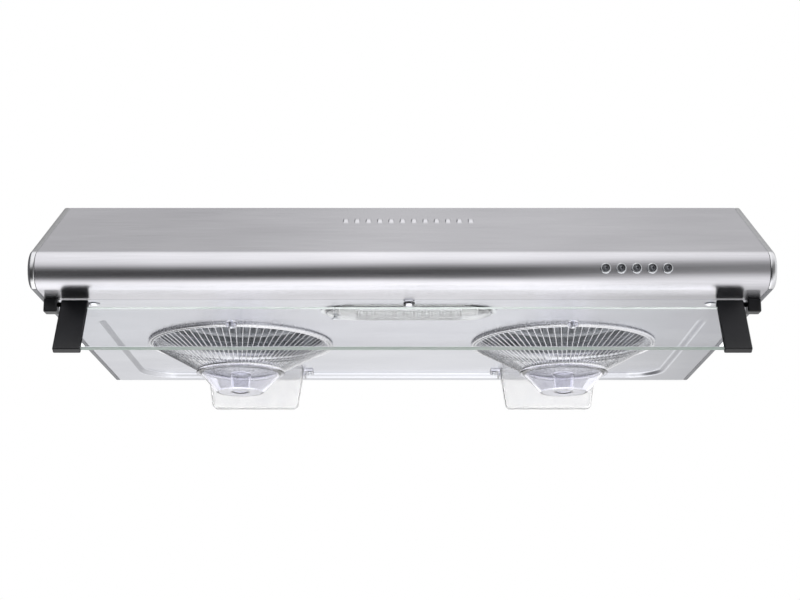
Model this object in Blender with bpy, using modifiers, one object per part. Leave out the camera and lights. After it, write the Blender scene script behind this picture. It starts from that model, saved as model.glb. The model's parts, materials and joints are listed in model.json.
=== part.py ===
"""Under cabinet range hood with two blowers, built as an assembly of separate solids.

Frame: metres, +Z up, -Y is the front. The origin is the centre of the flat top face that meets the cabinet.
"""

import math

import bmesh
import bpy
from mathutils import Matrix, Vector

# ---------------------------------------------------------------- driving dimensions

# Canopy
WIDTH = 0.750
DEPTH = 0.515
HEIGHT = 0.127
TOP_DEPTH = 0.360
NOSE_RADIUS = 0.0205
TOP_FILLET = 0.004
SHEET = 0.001
CAP_THICKNESS = 0.007
CAP_ROUNDING = 0.003
LIP_INSET = 0.062
LIP_FLANGE = 0.010
GAP = 0.0003
THROUGH = 0.020  # length of a cutter that passes right through a sheet

# Louvres in the slope
LOUVRE_COUNT = 12
LOUVRE_PITCH = 0.0122
LOUVRE_WIDTH = 0.0055
LOUVRE_SLOT = 0.0025
LOUVRE_FROM_TOP = 0.054
LOUVRE_CENTRE_X = 0.0066

# Keyholes for the screws into the cabinet
KEYHOLE_X = 0.310
KEYHOLE_Y = 0.125
KEYHOLE_RADIUS = 0.005
KEYHOLE_SLOT_WIDTH = 0.0045
KEYHOLE_SLOT_LENGTH = 0.012

# Bottom panel
RECESS_HEIGHT = 0.005
RECESS_SIDE = 0.040
RECESS_BACK = 0.0155
RECESS_SLOPE = 0.007
RECESS_REAR_CORNER = 0.045
RECESS_FRONT_CORNER = 0.013
BELL_HEIGHT = 0.0195
BELL_MARGIN = 0.005
BELL_CURVE = 0.008

# Blowers
FAN_X = 0.190
FAN_Y = -0.029
CASING_WALL = 0.0012
CASING_TOP_SPACE = 0.005
SCROLL_SPACE = 0.008
SCROLL_GROWTH = 0.029
SCROLL_START_ANGLE = math.radians(50)
MOTOR_RADIUS = 0.045
MOTOR_HEIGHT = 0.026
MOTOR_SHOULDER = 0.007
MOTOR_CHAMFER = 0.004
SHAFT_RADIUS = 0.004
SHAFT_DEPTH_IN_MOTOR = 0.014
WHEEL_INSET = 0.0055
WHEEL_HEIGHT = 0.060
WHEEL_SPACE = 0.003
WHEEL_RING_WIDTH = 0.009
WHEEL_PLATE = 0.002
WHEEL_RING_HEIGHT = 0.003
BLADE_COUNT = 20
BLADE_CHORD = 0.008
BLADE_THICKNESS = 0.0013
BLADE_ANGLE = math.radians(38)
HUB_RADIUS = 0.046
HUB_DROP = 0.034
NUT_RADIUS = 0.010
NUT_HEIGHT = 0.009
NUT_SKIN = 0.003

# Exhaust
COLLAR_Y = 0.090
COLLAR_RADIUS = 0.060
COLLAR_WALL = 0.0015
COLLAR_HEIGHT = 0.035
COLLAR_FLANGE = 0.008
PLENUM_HALF_WIDTH = 0.0635
PLENUM_LENGTH = 0.134
FLAP_HEIGHT = 0.012
FLAP_THICKNESS = 0.0012
FLAP_SIDE_SPACE = 0.002
FLAP_HINGE_OFFSET = 0.0030
SPINDLE_RADIUS = 0.0018

# Guards, turn clips and bowls
GUARD_RADIUS = 0.1065
GUARD_RIM_WIRE = 0.0018
GUARD_RING_RADIUS = 0.049
GUARD_RING_WIRE = 0.0020
GUARD_DEPTH = 0.0305
GUARD_WIRES = 32
GUARD_WIRE = 0.0009
CLIP_RADIUS = 0.006
CLIP_TAB_WIDTH = 0.008
CLIP_TAB_THICKNESS = 0.0022
CLIP_REACH = 0.0035
CLIP_SCREW_RADIUS = 0.0016
CLIP_SCREW_HEAD = 0.0032
CLIP_SCREW_HEAD_HEIGHT = 0.0020
SCREW_PAST_SHEET = 0.004
SCREW_CHAMFER = 0.0005
BOWL_DEPTH = 0.0262
BOWL_BASE_RADIUS = 0.0275
BOWL_WALL = 0.0016
BOWL_LIP = 0.0028
BOWL_LIP_HEIGHT = 0.0018
BOWL_CORNER = 0.003
BOWL_NECK = 0.007
BOWL_BOSS_TOP = 0.0125
BOWL_BOSS_BASE = 0.0105
BOWL_BOSS_HEIGHT = 0.0240

# Oil cups
CUP_X = 0.187
CUP_FRONT_Y = 0.127
CUP_WIDTH = 0.122
CUP_BASE_WIDTH = 0.108
CUP_LENGTH = 0.030
CUP_BASE_LENGTH = 0.020
CUP_HEIGHT = 0.049
CUP_WALL = 0.0016
CUP_ROUNDING = 0.005
CUP_CLIP_WIDTH = 0.012
CUP_CLIP_DROP = 0.008
CUP_CLIP_LENGTH = 0.026
CUP_CLIP_WALL = 0.0025
CUP_DRAIN_RADIUS = 0.003

# Lamp
LAMP_X = 0.007
LAMP_INSET = 0.119
LENS_LENGTH = 0.188
LENS_WIDTH = 0.070
LENS_WALL = 0.0015
OVAL_FLAT = 0.0005
LENS_DOME = 0.006
LENS_DOME_REACH = 0.020
LENS_OVERLAP = 0.004
LAMP_SCREW_INSET = 0.012
LAMP_SCREW_HEAD = 0.0042
LAMP_SCREW_HEAD_HEIGHT = 0.0022
LAMP_BOX_LENGTH = 0.150
LAMP_BOX_WIDTH = 0.052
LAMP_BOX_HEIGHT = 0.030
LAMP_TUBE_LENGTH = 0.118
LAMP_TUBE_RADIUS = 0.0078
LAMP_TUBE_RISE = 0.014
LAMP_TUBE_SHOULDER = 0.003
SOCKET_LENGTH = 0.012
SOCKET_RADIUS = 0.010
HOLDER_STRIP = 0.0025
HOLDER_WIDTH = 0.012
LAMP_PIN_RADIUS = 0.0020
LAMP_PIN_LENGTH = 0.004
LAMP_PIN_HOLE = 0.006

# Buttons
BUTTON_COUNT = 5
BUTTON_CENTRE_X = 0.234
BUTTON_PITCH = 0.0155
BUTTON_RISE = 0.0175
BUTTON_RADIUS = 0.0036
BUTTON_DISH = 0.0005
BUTTON_SUNK = 0.0006
BUTTON_TRAVEL = 0.003
BUTTON_LENGTH = 0.009
BUTTON_STEM_RADIUS = 0.0015
BUTTON_STEM = 0.014
BEZEL_WALL = 0.0007
BEZEL_FLANGE = 0.0008
BEZEL_CHAMFER = 0.0006
BEZEL_PROUD = 0.0018
BEZEL_LENGTH = 0.006
SWITCH_DEPTH = 0.018
SWITCH_HEIGHT = 0.020
SWITCH_MARGIN = 0.008
SWITCH_SPACE = 0.002
SWITCH_HOLE_DEPTH = 0.017

# Visor
VISOR_ANGLE = math.radians(61)
VISOR_PIVOT_SPACE = 0.0002
VISOR_PIVOT_BACK = 0.0015
ARM_LENGTH = 0.063
ARM_WIDTH = 0.028
ARM_THICKNESS = 0.0075
ARM_SIDE = 0.023
ARM_CORNER = 0.0025
ARM_ROUNDING = 0.0012
ARM_SLOT_DEPTH = 0.006
GLASS_THICKNESS = 0.005
GLASS_START = 0.005
GLASS_ROUNDING = 0.0008
PIVOT_PIN_RADIUS = 0.0025
PIVOT_PIN_LENGTH = 0.010
BLOCK_WIDTH = 0.014
BLOCK_SPACE = 0.003
BLOCK_LENGTH = 0.014
BLOCK_HEIGHT = 0.0142
BLOCK_ROUNDING = 0.001

# Small fittings
LIP_HEAD_X = 0.322
LIP_HEAD_BACK = 0.018
LIP_HEAD_RADIUS = 0.0062
LIP_HEAD_HEIGHT = 0.0025
LIP_SHANK_RADIUS = 0.0020
LIP_SHANK_LENGTH = 0.008
BUMPER_RADIUS = 0.0060
BUMPER_HEIGHT = 0.005
BUMPER_BACK = 0.0075
TERMINAL_BOX = (0.070, 0.044, 0.040)
TERMINAL_CENTRE = (0.266, 0.140)
TERMINAL_ROUNDING = 0.002
CAPACITOR_RADIUS = 0.0125
CAPACITOR_LENGTH = 0.050
CAPACITOR_CENTRE = (-0.285, 0.142)
GLAND_CENTRE = (0.215, 0.140)
GLAND_RADIUS = 0.009
GLAND_BORE = 0.0038
GLAND_HEIGHT = 0.014
GLAND_FLANGE = 0.013
GLAND_FLANGE_HEIGHT = 0.003

# Facets round a circle
LARGE_ROUND = 28
MEDIUM_ROUND = 16
SMALL_ROUND = 10

# ---------------------------------------------------------------- derived places

BACK_Y = TOP_DEPTH / 2
FRONT_Y = BACK_Y - DEPTH
TOP_FRONT_Y = -TOP_DEPTH / 2
UNDERSIDE_Z = -HEIGHT
LIP_Y = FRONT_Y + LIP_INSET
INNER_X = WIDTH / 2 - CAP_THICKNESS - GAP
BELL_MOUTH_RADIUS = GUARD_RADIUS - BELL_MARGIN
BELL_THROAT_RADIUS = BELL_MOUTH_RADIUS - BELL_CURVE
WHEEL_RADIUS = BELL_THROAT_RADIUS - WHEEL_INSET
SCROLL_START_RADIUS = WHEEL_RADIUS + SCROLL_SPACE
SCROLL_END_RADIUS = SCROLL_START_RADIUS + SCROLL_GROWTH
BEZEL_TUBE_RADIUS = BUTTON_RADIUS + GAP + BEZEL_WALL
BEZEL_RADIUS = BEZEL_TUBE_RADIUS + BEZEL_FLANGE
NOSE_Y = FRONT_Y + NOSE_RADIUS
NOSE_Z = UNDERSIDE_Z + NOSE_RADIUS
PLATEAU_Z = UNDERSIDE_Z + RECESS_HEIGHT
BELL_TOP_Z = PLATEAU_Z + BELL_HEIGHT
CASING_BOTTOM_Z = BELL_TOP_Z + GAP
CASING_TOP_Z = -SHEET - CASING_TOP_SPACE
MOTOR_TOP_Z = CASING_TOP_Z - CASING_WALL - GAP
MOTOR_BOTTOM_Z = MOTOR_TOP_Z - MOTOR_HEIGHT
WHEEL_TOP_Z = MOTOR_BOTTOM_Z - WHEEL_SPACE
WHEEL_BOTTOM_Z = WHEEL_TOP_Z - WHEEL_HEIGHT
GUARD_TOP_Z = PLATEAU_Z - GAP
GUARD_RIM_Z = GUARD_TOP_Z - GUARD_RIM_WIRE
GUARD_RING_Z = GUARD_RIM_Z - GUARD_DEPTH
LAMP_Y = FRONT_Y + LAMP_INSET
LENS_TOP_Z = UNDERSIDE_Z - GAP
VISOR_PIVOT_Y = LIP_Y - VISOR_PIVOT_BACK
VISOR_PIVOT_DROP = ARM_THICKNESS / math.sqrt(2) + VISOR_PIVOT_SPACE
VISOR_PIVOT_Z = UNDERSIDE_Z - VISOR_PIVOT_DROP
ARM_OUTER_X = WIDTH / 2 - ARM_SIDE
ARM_INNER_X = ARM_OUTER_X - ARM_WIDTH
BUTTON_Z = UNDERSIDE_Z + BUTTON_RISE
SIDES = {"left": -1, "right": 1}

# ---------------------------------------------------------------- scene and collections

for leftover in list(bpy.data.objects):
    bpy.data.objects.remove(leftover)

PARTS = bpy.data.collections.new("range_hood")
CUTTERS = bpy.data.collections.new("cutters")
bpy.context.scene.collection.children.link(PARTS)
bpy.context.scene.collection.children.link(CUTTERS)


def material(name, colour, roughness, metallic=0.0, alpha=1.0):
    """A Principled material with one colour."""
    made = bpy.data.materials.new(name)
    made.use_nodes = True
    shader = made.node_tree.nodes["Principled BSDF"]
    shader.inputs["Base Color"].default_value = (*colour, 1.0)
    shader.inputs["Roughness"].default_value = roughness
    shader.inputs["Metallic"].default_value = metallic
    shader.inputs["Alpha"].default_value = alpha
    made.diffuse_color = (*colour, alpha)
    return made


BRUSHED = material("brushed_stainless", (0.43, 0.43, 0.45), 0.32, 1.0)
POLISHED = material("polished_stainless", (0.62, 0.63, 0.66), 0.18, 1.0)
SILVER = material("silver_end_cap", (0.55, 0.55, 0.57), 0.28, 1.0)
GALVANISED = material("galvanised_sheet", (0.45, 0.46, 0.48), 0.45, 1.0)
CHROME = material("chromed_steel", (0.80, 0.81, 0.83), 0.08, 1.0)
STEEL = material("turned_steel", (0.50, 0.50, 0.52), 0.30, 1.0)
BLACK = material("black_plastic", (0.012, 0.012, 0.014), 0.45)
GREY = material("grey_plastic", (0.05, 0.052, 0.056), 0.50)
WHITE = material("white_plastic", (0.70, 0.70, 0.68), 0.40)
CLEAR = material("clear_plastic", (0.82, 0.86, 0.88), 0.08, 0.0, 0.35)
FROSTED = material("frosted_plastic", (0.78, 0.80, 0.82), 0.35, 0.0, 0.60)
GLASS = material("visor_glass", (0.70, 0.88, 0.82), 0.03, 0.0, 0.35)


# ---------------------------------------------------------------- modelling helpers


def placed(name, mesh, finish):
    """An object for a sub-part, in the parts collection."""
    obj = bpy.data.objects.new(name, mesh)
    mesh.materials.clear()
    mesh.materials.append(finish)
    PARTS.objects.link(obj)
    return obj


def as_cutter(obj):
    """Moves an object to the cutters, which aren't part of the hood."""
    PARTS.objects.unlink(obj)
    CUTTERS.objects.link(obj)
    obj.hide_render = True
    obj.display_type = "WIRE"
    return obj


def combine(target, other, operation):
    """A Boolean of the target with a helper solid."""
    as_cutter(other)
    boolean = target.modifiers.new(other.name, "BOOLEAN")
    boolean.operation = operation
    boolean.solver = "EXACT"
    boolean.object = other


def cut(target, *tools):
    for tool in tools:
        combine(target, tool, "DIFFERENCE")


def join(target, *others):
    for other in others:
        combine(target, other, "UNION")


def smooth(obj, angle=35):
    obj.data.shade_smooth()
    obj.data.set_sharp_from_angle(angle=math.radians(angle))
    return obj


def box(name, low, high, finish, rounding=0.0, segments=2):
    """A block between two corners, with its edges rounded."""
    size = Vector(high) - Vector(low)
    centre = (Vector(high) + Vector(low)) / 2
    bm = bmesh.new()
    bmesh.ops.create_cube(bm, size=1.0)
    bmesh.ops.scale(bm, vec=size, verts=bm.verts)
    mesh = bpy.data.meshes.new(name)
    bm.to_mesh(mesh)
    bm.free()
    obj = placed(name, mesh, finish)
    obj.location = centre
    if rounding:
        bevel = obj.modifiers.new("rounding", "BEVEL")
        bevel.width = rounding
        bevel.segments = segments
    return obj


AXIS_TURN = {
    "Z": Matrix.Identity(4),
    "X": Matrix.Rotation(math.pi / 2, 4, "Y"),
    "Y": Matrix.Rotation(-math.pi / 2, 4, "X"),
}


def rod(name, centre, radius, length, finish, axis="Z", sides=MEDIUM_ROUND):
    """A cylinder along one axis."""
    bm = bmesh.new()
    turn = AXIS_TURN[axis]
    bmesh.ops.create_cone(
        bm, cap_ends=True, segments=sides, radius1=radius, radius2=radius, depth=length, matrix=turn
    )
    mesh = bpy.data.meshes.new(name)
    bm.to_mesh(mesh)
    bm.free()
    obj = placed(name, mesh, finish)
    obj.location = centre
    return smooth(obj)


def turned(name, profile, finish, steps=LARGE_ROUND, closed=False):
    """A profile of (radius, height) points, top to bottom down the outer side, turned about Z."""
    mesh = bpy.data.meshes.new(name)
    edges = [(i, i + 1) for i in range(len(profile) - 1)]
    if closed:
        edges.append((len(profile) - 1, 0))
    mesh.from_pydata([(radius, 0.0, height) for radius, height in profile], edges, [])
    obj = placed(name, mesh, finish)
    screw = obj.modifiers.new("turning", "SCREW")
    screw.steps = steps
    screw.render_steps = steps
    screw.use_merge_vertices = True
    screw.merge_threshold = 0.00005
    screw.use_smooth_shade = True
    return obj


def flat_solid(name, outline, thickness, finish, plane="XY"):
    """A closed outline of 2-D points as a solid plate, centred on its plane."""
    curve = bpy.data.curves.new(name, "CURVE")
    curve.dimensions = "2D"
    curve.fill_mode = "BOTH"
    curve.extrude = thickness / 2
    spline = curve.splines.new("POLY")
    spline.points.add(len(outline) - 1)
    for point, (a, b) in zip(spline.points, outline):
        point.co = (a, b, 0.0, 1.0)
    spline.use_cyclic_u = True
    drawn = bpy.data.objects.new(name, curve)
    PARTS.objects.link(drawn)
    if plane == "YZ":
        drawn.matrix_world = Matrix(((0, 0, 1, 0), (1, 0, 0, 0), (0, 1, 0, 0), (0, 0, 0, 1)))
    depsgraph = bpy.context.evaluated_depsgraph_get()
    mesh = bpy.data.meshes.new_from_object(drawn.evaluated_get(depsgraph))
    bm = bmesh.new()
    bm.from_mesh(mesh)
    bmesh.ops.remove_doubles(bm, verts=bm.verts, dist=0.00002)
    bmesh.ops.recalc_face_normals(bm, faces=bm.faces)
    bm.to_mesh(mesh)
    bm.free()
    solid = placed(f"{name}.solid", mesh, finish)
    solid.matrix_world = drawn.matrix_world
    bpy.data.objects.remove(drawn)
    solid.name = name
    return solid


def arc(centre, radius, start, end, steps):
    """Points on an arc, both ends included, angles in radians."""
    return [
        (
            centre[0] + radius * math.cos(start + (end - start) * i / steps),
            centre[1] + radius * math.sin(start + (end - start) * i / steps),
        )
        for i in range(steps + 1)
    ]


def circle(centre, radius, sides=LARGE_ROUND):
    """Points round a circle, each once."""
    return arc(centre, radius, 0.0, math.tau, sides)[:-1]


def rounded_rectangle(low, high, front, rear, steps=4):
    """A rounded rectangle, anticlockwise from its lower right, with two radii for its corners."""
    corners = (
        (high[0] - front, low[1] + front, front, -math.pi / 2),
        (high[0] - rear, high[1] - rear, rear, 0.0),
        (low[0] + rear, high[1] - rear, rear, math.pi / 2),
        (low[0] + front, low[1] + front, front, math.pi),
    )
    points = []
    for x, y, radius, start in corners:
        points += arc((x, y), radius, start, start + math.pi / 2, steps)
    return points


def oval(length, width, shrink=0.0, steps=4):
    """A stadium outline centred on the origin, drawn in by the given amount."""
    radius = width / 2 - shrink - OVAL_FLAT
    low = (shrink - length / 2, shrink - width / 2)
    high = (length / 2 - shrink, width / 2 - shrink)
    return rounded_rectangle(low, high, radius, radius, steps)


def loop_of(bm, points, height):
    """A closed ring of edges through 2-D points at one height."""
    verts = [bm.verts.new((x, y, height)) for x, y in points]
    return [bm.edges.new((verts[i], verts[i - 1])) for i in range(len(verts))]


def pressed_sheet(name, bm, finish, thickness, inside_up=True):
    """Turns an open surface into sheet, with the material on its inner side."""
    bmesh.ops.recalc_face_normals(bm, faces=bm.faces)
    largest = max(bm.faces, key=lambda face: face.calc_area())
    if (largest.normal.z > 0) == inside_up:
        bmesh.ops.reverse_faces(bm, faces=bm.faces)
    mesh = bpy.data.meshes.new(name)
    bm.to_mesh(mesh)
    bm.free()
    obj = placed(name, mesh, finish)
    solidify = obj.modifiers.new("sheet", "SOLIDIFY")
    solidify.thickness = thickness
    solidify.offset = -1.0
    solidify.use_even_offset = True
    return smooth(obj)


# ---------------------------------------------------------------- canopy


def slope_and_nose():
    """The outer line of the canopy from the top's front edge, down the slope and round the nose."""
    to_top = Vector((TOP_FRONT_Y - NOSE_Y, -NOSE_Z))
    touch = math.atan2(to_top.y, to_top.x) + math.acos(NOSE_RADIUS / to_top.length)
    slope = touch - math.pi / 2
    setback = TOP_FILLET * math.tan(slope / 2)
    fillet_centre = (TOP_FRONT_Y + setback, -TOP_FILLET)
    fillet = arc(fillet_centre, TOP_FILLET, math.pi / 2, math.pi / 2 + slope, 3)
    nose = arc((NOSE_Y, NOSE_Z), NOSE_RADIUS, touch, 1.5 * math.pi, 12)
    return fillet + nose, slope


OUTER_LINE, SLOPE_ANGLE = slope_and_nose()


def canopy_shell():
    """The wrapped sheet: flat top, slope, nose and under-return with its turned-up lip."""
    line = [(BACK_Y, 0.0)] + OUTER_LINE
    line += [(LIP_Y, UNDERSIDE_Z), (LIP_Y, UNDERSIDE_Z + LIP_FLANGE)]
    bm = bmesh.new()
    verts = [bm.verts.new((-INNER_X, y, z)) for y, z in line]
    edges = [bm.edges.new((verts[i], verts[i + 1])) for i in range(len(verts) - 1)]
    swept = bmesh.ops.extrude_edge_only(bm, edges=edges)["geom"]
    moved = [item for item in swept if isinstance(item, bmesh.types.BMVert)]
    bmesh.ops.translate(bm, verts=moved, vec=(2 * INNER_X, 0, 0))
    shell = pressed_sheet("canopy_shell", bm, BRUSHED, SHEET, inside_up=False)
    cut(shell, *louvre_slots())
    cut(shell, rod("collar_hole", (0, COLLAR_Y, 0), COLLAR_RADIUS + GAP, THROUGH, BLACK, sides=LARGE_ROUND))
    gland_hole = rod("gland_hole", (*GLAND_CENTRE, 0), GLAND_RADIUS + GAP, THROUGH, BLACK)
    cut(shell, gland_hole)
    for x in button_places():
        centre = (x, FRONT_Y, BUTTON_Z)
        cut(shell, rod("button_hole", centre, BEZEL_TUBE_RADIUS + GAP, THROUGH, BLACK, "Y", SMALL_ROUND))
    for x in (-KEYHOLE_X, KEYHOLE_X):
        for y in (-KEYHOLE_Y, KEYHOLE_Y):
            cut(shell, *keyhole(x, y))


def louvre_slots():
    """One slot for each louvre, square to the slope."""
    along = LOUVRE_FROM_TOP
    centre_y = TOP_FRONT_Y - along * math.cos(SLOPE_ANGLE)
    centre_z = -along * math.sin(SLOPE_ANGLE)
    slots = []
    for i in range(LOUVRE_COUNT):
        x = LOUVRE_CENTRE_X + (i - (LOUVRE_COUNT - 1) / 2) * LOUVRE_PITCH
        half = (LOUVRE_WIDTH / 2, LOUVRE_SLOT / 2, THROUGH / 4)
        slot = box(f"louvre_slot_{i}", [-h for h in half], half, BLACK)
        slot.location = (x, centre_y, centre_z)
        slot.rotation_euler = (SLOPE_ANGLE, 0, 0)
        slots.append(slot)
    return slots


def keyhole(x, y):
    """A round entry with a narrow slot behind it, for a screw head in the cabinet."""
    entry = rod("keyhole_entry", (x, y, 0), KEYHOLE_RADIUS, THROUGH, BLACK, "Z", SMALL_ROUND)
    half = KEYHOLE_SLOT_WIDTH / 2
    far = (x + half, y + KEYHOLE_SLOT_LENGTH, THROUGH / 2)
    slot = box("keyhole_slot", (x - half, y, -THROUGH / 2), far, BLACK)
    return entry, slot


def end_cap(side):
    """A thick cast plate with the canopy's outline and a rounded outer edge."""
    sign = SIDES[side]
    outline = [(BACK_Y, UNDERSIDE_Z), (BACK_Y, 0.0)] + OUTER_LINE
    cap = flat_solid(f"end_cap_{side}", outline, CAP_THICKNESS, SILVER, "YZ")
    centre_x = sign * (WIDTH / 2 - CAP_THICKNESS / 2)
    outer = sign * CAP_THICKNESS / 2
    bm = bmesh.new()
    bm.from_mesh(cap.data)
    rim = [e for e in bm.edges if all(abs(v.co.z - outer) < 1e-6 for v in e.verts)]
    rim = [e for e in rim if len({round(f.normal.z, 2) for f in e.link_faces}) > 1]
    bmesh.ops.bevel(
        bm, geom=rim, offset=CAP_ROUNDING, segments=3, profile=0.5, affect="EDGES", clamp_overlap=True
    )
    bm.to_mesh(cap.data)
    bm.free()
    cap.location.x = centre_x
    smooth(cap)


def back_panel():
    low = (-INNER_X, BACK_Y - SHEET, UNDERSIDE_Z)
    box("back_panel", low, (INNER_X, BACK_Y, -SHEET - GAP), GALVANISED)


# ---------------------------------------------------------------- bottom panel


def bottom_panel():
    """One pressed sheet: flat border, recess, two drawn bell mouths and the lamp opening."""
    bm = bmesh.new()
    front, back = LIP_Y + GAP, BACK_Y - SHEET - GAP
    rim = [(-INNER_X, front), (INNER_X, front), (INNER_X, back), (-INNER_X, back)]
    outer_low = (RECESS_SIDE - WIDTH / 2, LAMP_Y + LENS_WIDTH / 2 + LENS_OVERLAP + RECESS_SLOPE)
    outer_high = (WIDTH / 2 - RECESS_SIDE, BACK_Y - RECESS_BACK)
    inner_low = [value + RECESS_SLOPE for value in outer_low]
    inner_high = [value - RECESS_SLOPE for value in outer_high]
    mid_low = [value + RECESS_SLOPE / 2 for value in outer_low]
    mid_high = [value - RECESS_SLOPE / 2 for value in outer_high]
    border = loop_of(bm, rim, UNDERSIDE_Z)
    window = [(x + LAMP_X, y + LAMP_Y) for x, y in oval(LENS_LENGTH, LENS_WIDTH, LENS_OVERLAP)]
    opening = loop_of(bm, window, UNDERSIDE_Z)
    front_corner, rear_corner = RECESS_FRONT_CORNER, RECESS_REAR_CORNER
    brink = rounded_rectangle(outer_low, outer_high, front_corner, rear_corner)
    step_out = loop_of(bm, brink, UNDERSIDE_Z)
    half = RECESS_SLOPE / 2
    middle = rounded_rectangle(mid_low, mid_high, front_corner - half, rear_corner - half)
    step_mid = loop_of(bm, middle, UNDERSIDE_Z + RECESS_HEIGHT / 2)
    plateau = rounded_rectangle(inner_low, inner_high, front_corner - 2 * half, rear_corner - 2 * half)
    step_in = loop_of(bm, plateau, PLATEAU_Z)
    mouths = []
    for sign in SIDES.values():
        centre = (sign * FAN_X, FAN_Y)
        rings = [
            loop_of(bm, circle(centre, radius), PLATEAU_Z + rise)
            for radius, rise in bell_line()
        ]
        mouths.append(rings[0])
        for lower, upper in zip(rings, rings[1:]):
            bmesh.ops.bridge_loops(bm, edges=lower + upper)
    bmesh.ops.bridge_loops(bm, edges=step_out + step_mid)
    bmesh.ops.bridge_loops(bm, edges=step_mid + step_in)
    bmesh.ops.triangle_fill(bm, edges=border + opening + step_out, use_beauty=True)
    bmesh.ops.triangle_fill(bm, edges=step_in + mouths[0] + mouths[1], use_beauty=True)
    panel = pressed_sheet("bottom_panel", bm, POLISHED, SHEET)
    for sign in SIDES.values():
        screw = (sign * FAN_X, clip_centre_y(), PLATEAU_Z)
        cut(panel, rod("clip_screw_hole", screw, CLIP_SCREW_RADIUS + GAP, THROUGH, BLACK, sides=12))
        head = (sign * LIP_HEAD_X, lip_head_y(), UNDERSIDE_Z)
        cut(panel, rod("lip_hole", head, LIP_SHANK_RADIUS + GAP, THROUGH, BLACK, sides=12))
        drain = (sign * CUP_X, CUP_FRONT_Y + CUP_LENGTH / 2, PLATEAU_Z)
        cut(panel, rod("drain_hole", drain, CUP_DRAIN_RADIUS, THROUGH, BLACK, sides=12))


def bell_line():
    """The bell mouth as (radius, rise) from the plateau up to the throat."""
    drop = BELL_MOUTH_RADIUS - BELL_THROAT_RADIUS
    curve = [
        (BELL_MOUTH_RADIUS - drop * math.sin(a), drop * (1 - math.cos(a)))
        for a in (0.0, math.radians(45), math.radians(90))
    ]
    return curve + [(BELL_THROAT_RADIUS, BELL_HEIGHT)]


# ---------------------------------------------------------------- blowers


def scroll_outline(sign, inset, reach):
    """The scroll seen from above, its outlet towards the middle of the hood, drawn in by a wall."""
    centre = (sign * FAN_X, FAN_Y)
    steps = 26
    turn = SCROLL_START_ANGLE + 1.5 * math.pi
    points = []
    for i in range(steps + 1):
        share = i / steps
        angle = SCROLL_START_ANGLE - turn * share
        radius = SCROLL_START_RADIUS + (SCROLL_END_RADIUS - SCROLL_START_RADIUS) * share - inset
        x = centre[0] - sign * radius * math.cos(angle)
        points.append((x, centre[1] + radius * math.sin(angle)))
    outlet_x = sign * reach
    cutoff_y = FAN_Y + SCROLL_START_RADIUS * math.sin(SCROLL_START_ANGLE) + inset
    points[0] = (points[0][0], cutoff_y)
    points.append((outlet_x, FAN_Y + SCROLL_END_RADIUS - inset))
    points.append((outlet_x, cutoff_y))
    return points


def blower_casing(side):
    """A scroll of sheet with a round inlet below and an outlet into the plenum."""
    sign = SIDES[side]
    height = CASING_TOP_Z - CASING_BOTTOM_Z
    middle_z = (CASING_TOP_Z + CASING_BOTTOM_Z) / 2
    outlet = PLENUM_HALF_WIDTH + GAP
    casing = flat_solid(f"blower_casing_{side}", scroll_outline(sign, 0, outlet), height, GALVANISED)
    casing.location.z = middle_z
    inner = scroll_outline(sign, CASING_WALL, outlet - THROUGH / 2)
    hollow = flat_solid("scroll_hollow", inner, height - 2 * CASING_WALL, BLACK)
    hollow.location.z = middle_z
    centre = (sign * FAN_X, FAN_Y, CASING_BOTTOM_Z)
    inlet = rod("inlet_hole", centre, BELL_THROAT_RADIUS - SHEET, THROUGH, BLACK, sides=LARGE_ROUND)
    cut(casing, hollow, inlet)
    smooth(casing)


def motor(side):
    """A flat motor can with a blind bore for its shaft and a ribbed shoulder."""
    top, bottom = MOTOR_TOP_Z, MOTOR_BOTTOM_Z
    bore = SHAFT_RADIUS + GAP
    crown = MOTOR_RADIUS - 2 * MOTOR_CHAMFER
    profile = [(0, top), (crown, top), (crown + MOTOR_CHAMFER / 2, top - MOTOR_CHAMFER)]
    profile += [(MOTOR_RADIUS, top - MOTOR_SHOULDER), (MOTOR_RADIUS, bottom + MOTOR_CHAMFER)]
    profile += [(MOTOR_RADIUS - MOTOR_CHAMFER, bottom), (bore, bottom), (bore, bottom + SHAFT_DEPTH_IN_MOTOR)]
    profile += [(0, bottom + SHAFT_DEPTH_IN_MOTOR)]
    can = turned(f"motor_{side}", profile, STEEL, steps=MEDIUM_ROUND)
    can.location = (SIDES[side] * FAN_X, FAN_Y, 0)


def shaft_bottom_z():
    """The shaft ends inside the nut, which closes it from below."""
    return WHEEL_TOP_Z - HUB_DROP - WHEEL_PLATE - NUT_HEIGHT + NUT_SKIN


def motor_shaft(side):
    top = MOTOR_BOTTOM_Z + SHAFT_DEPTH_IN_MOTOR - GAP
    bottom = shaft_bottom_z()
    centre = (SIDES[side] * FAN_X, FAN_Y, (top + bottom) / 2)
    rod(f"motor_shaft_{side}", centre, SHAFT_RADIUS, top - bottom, STEEL, sides=SMALL_ROUND)


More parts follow.
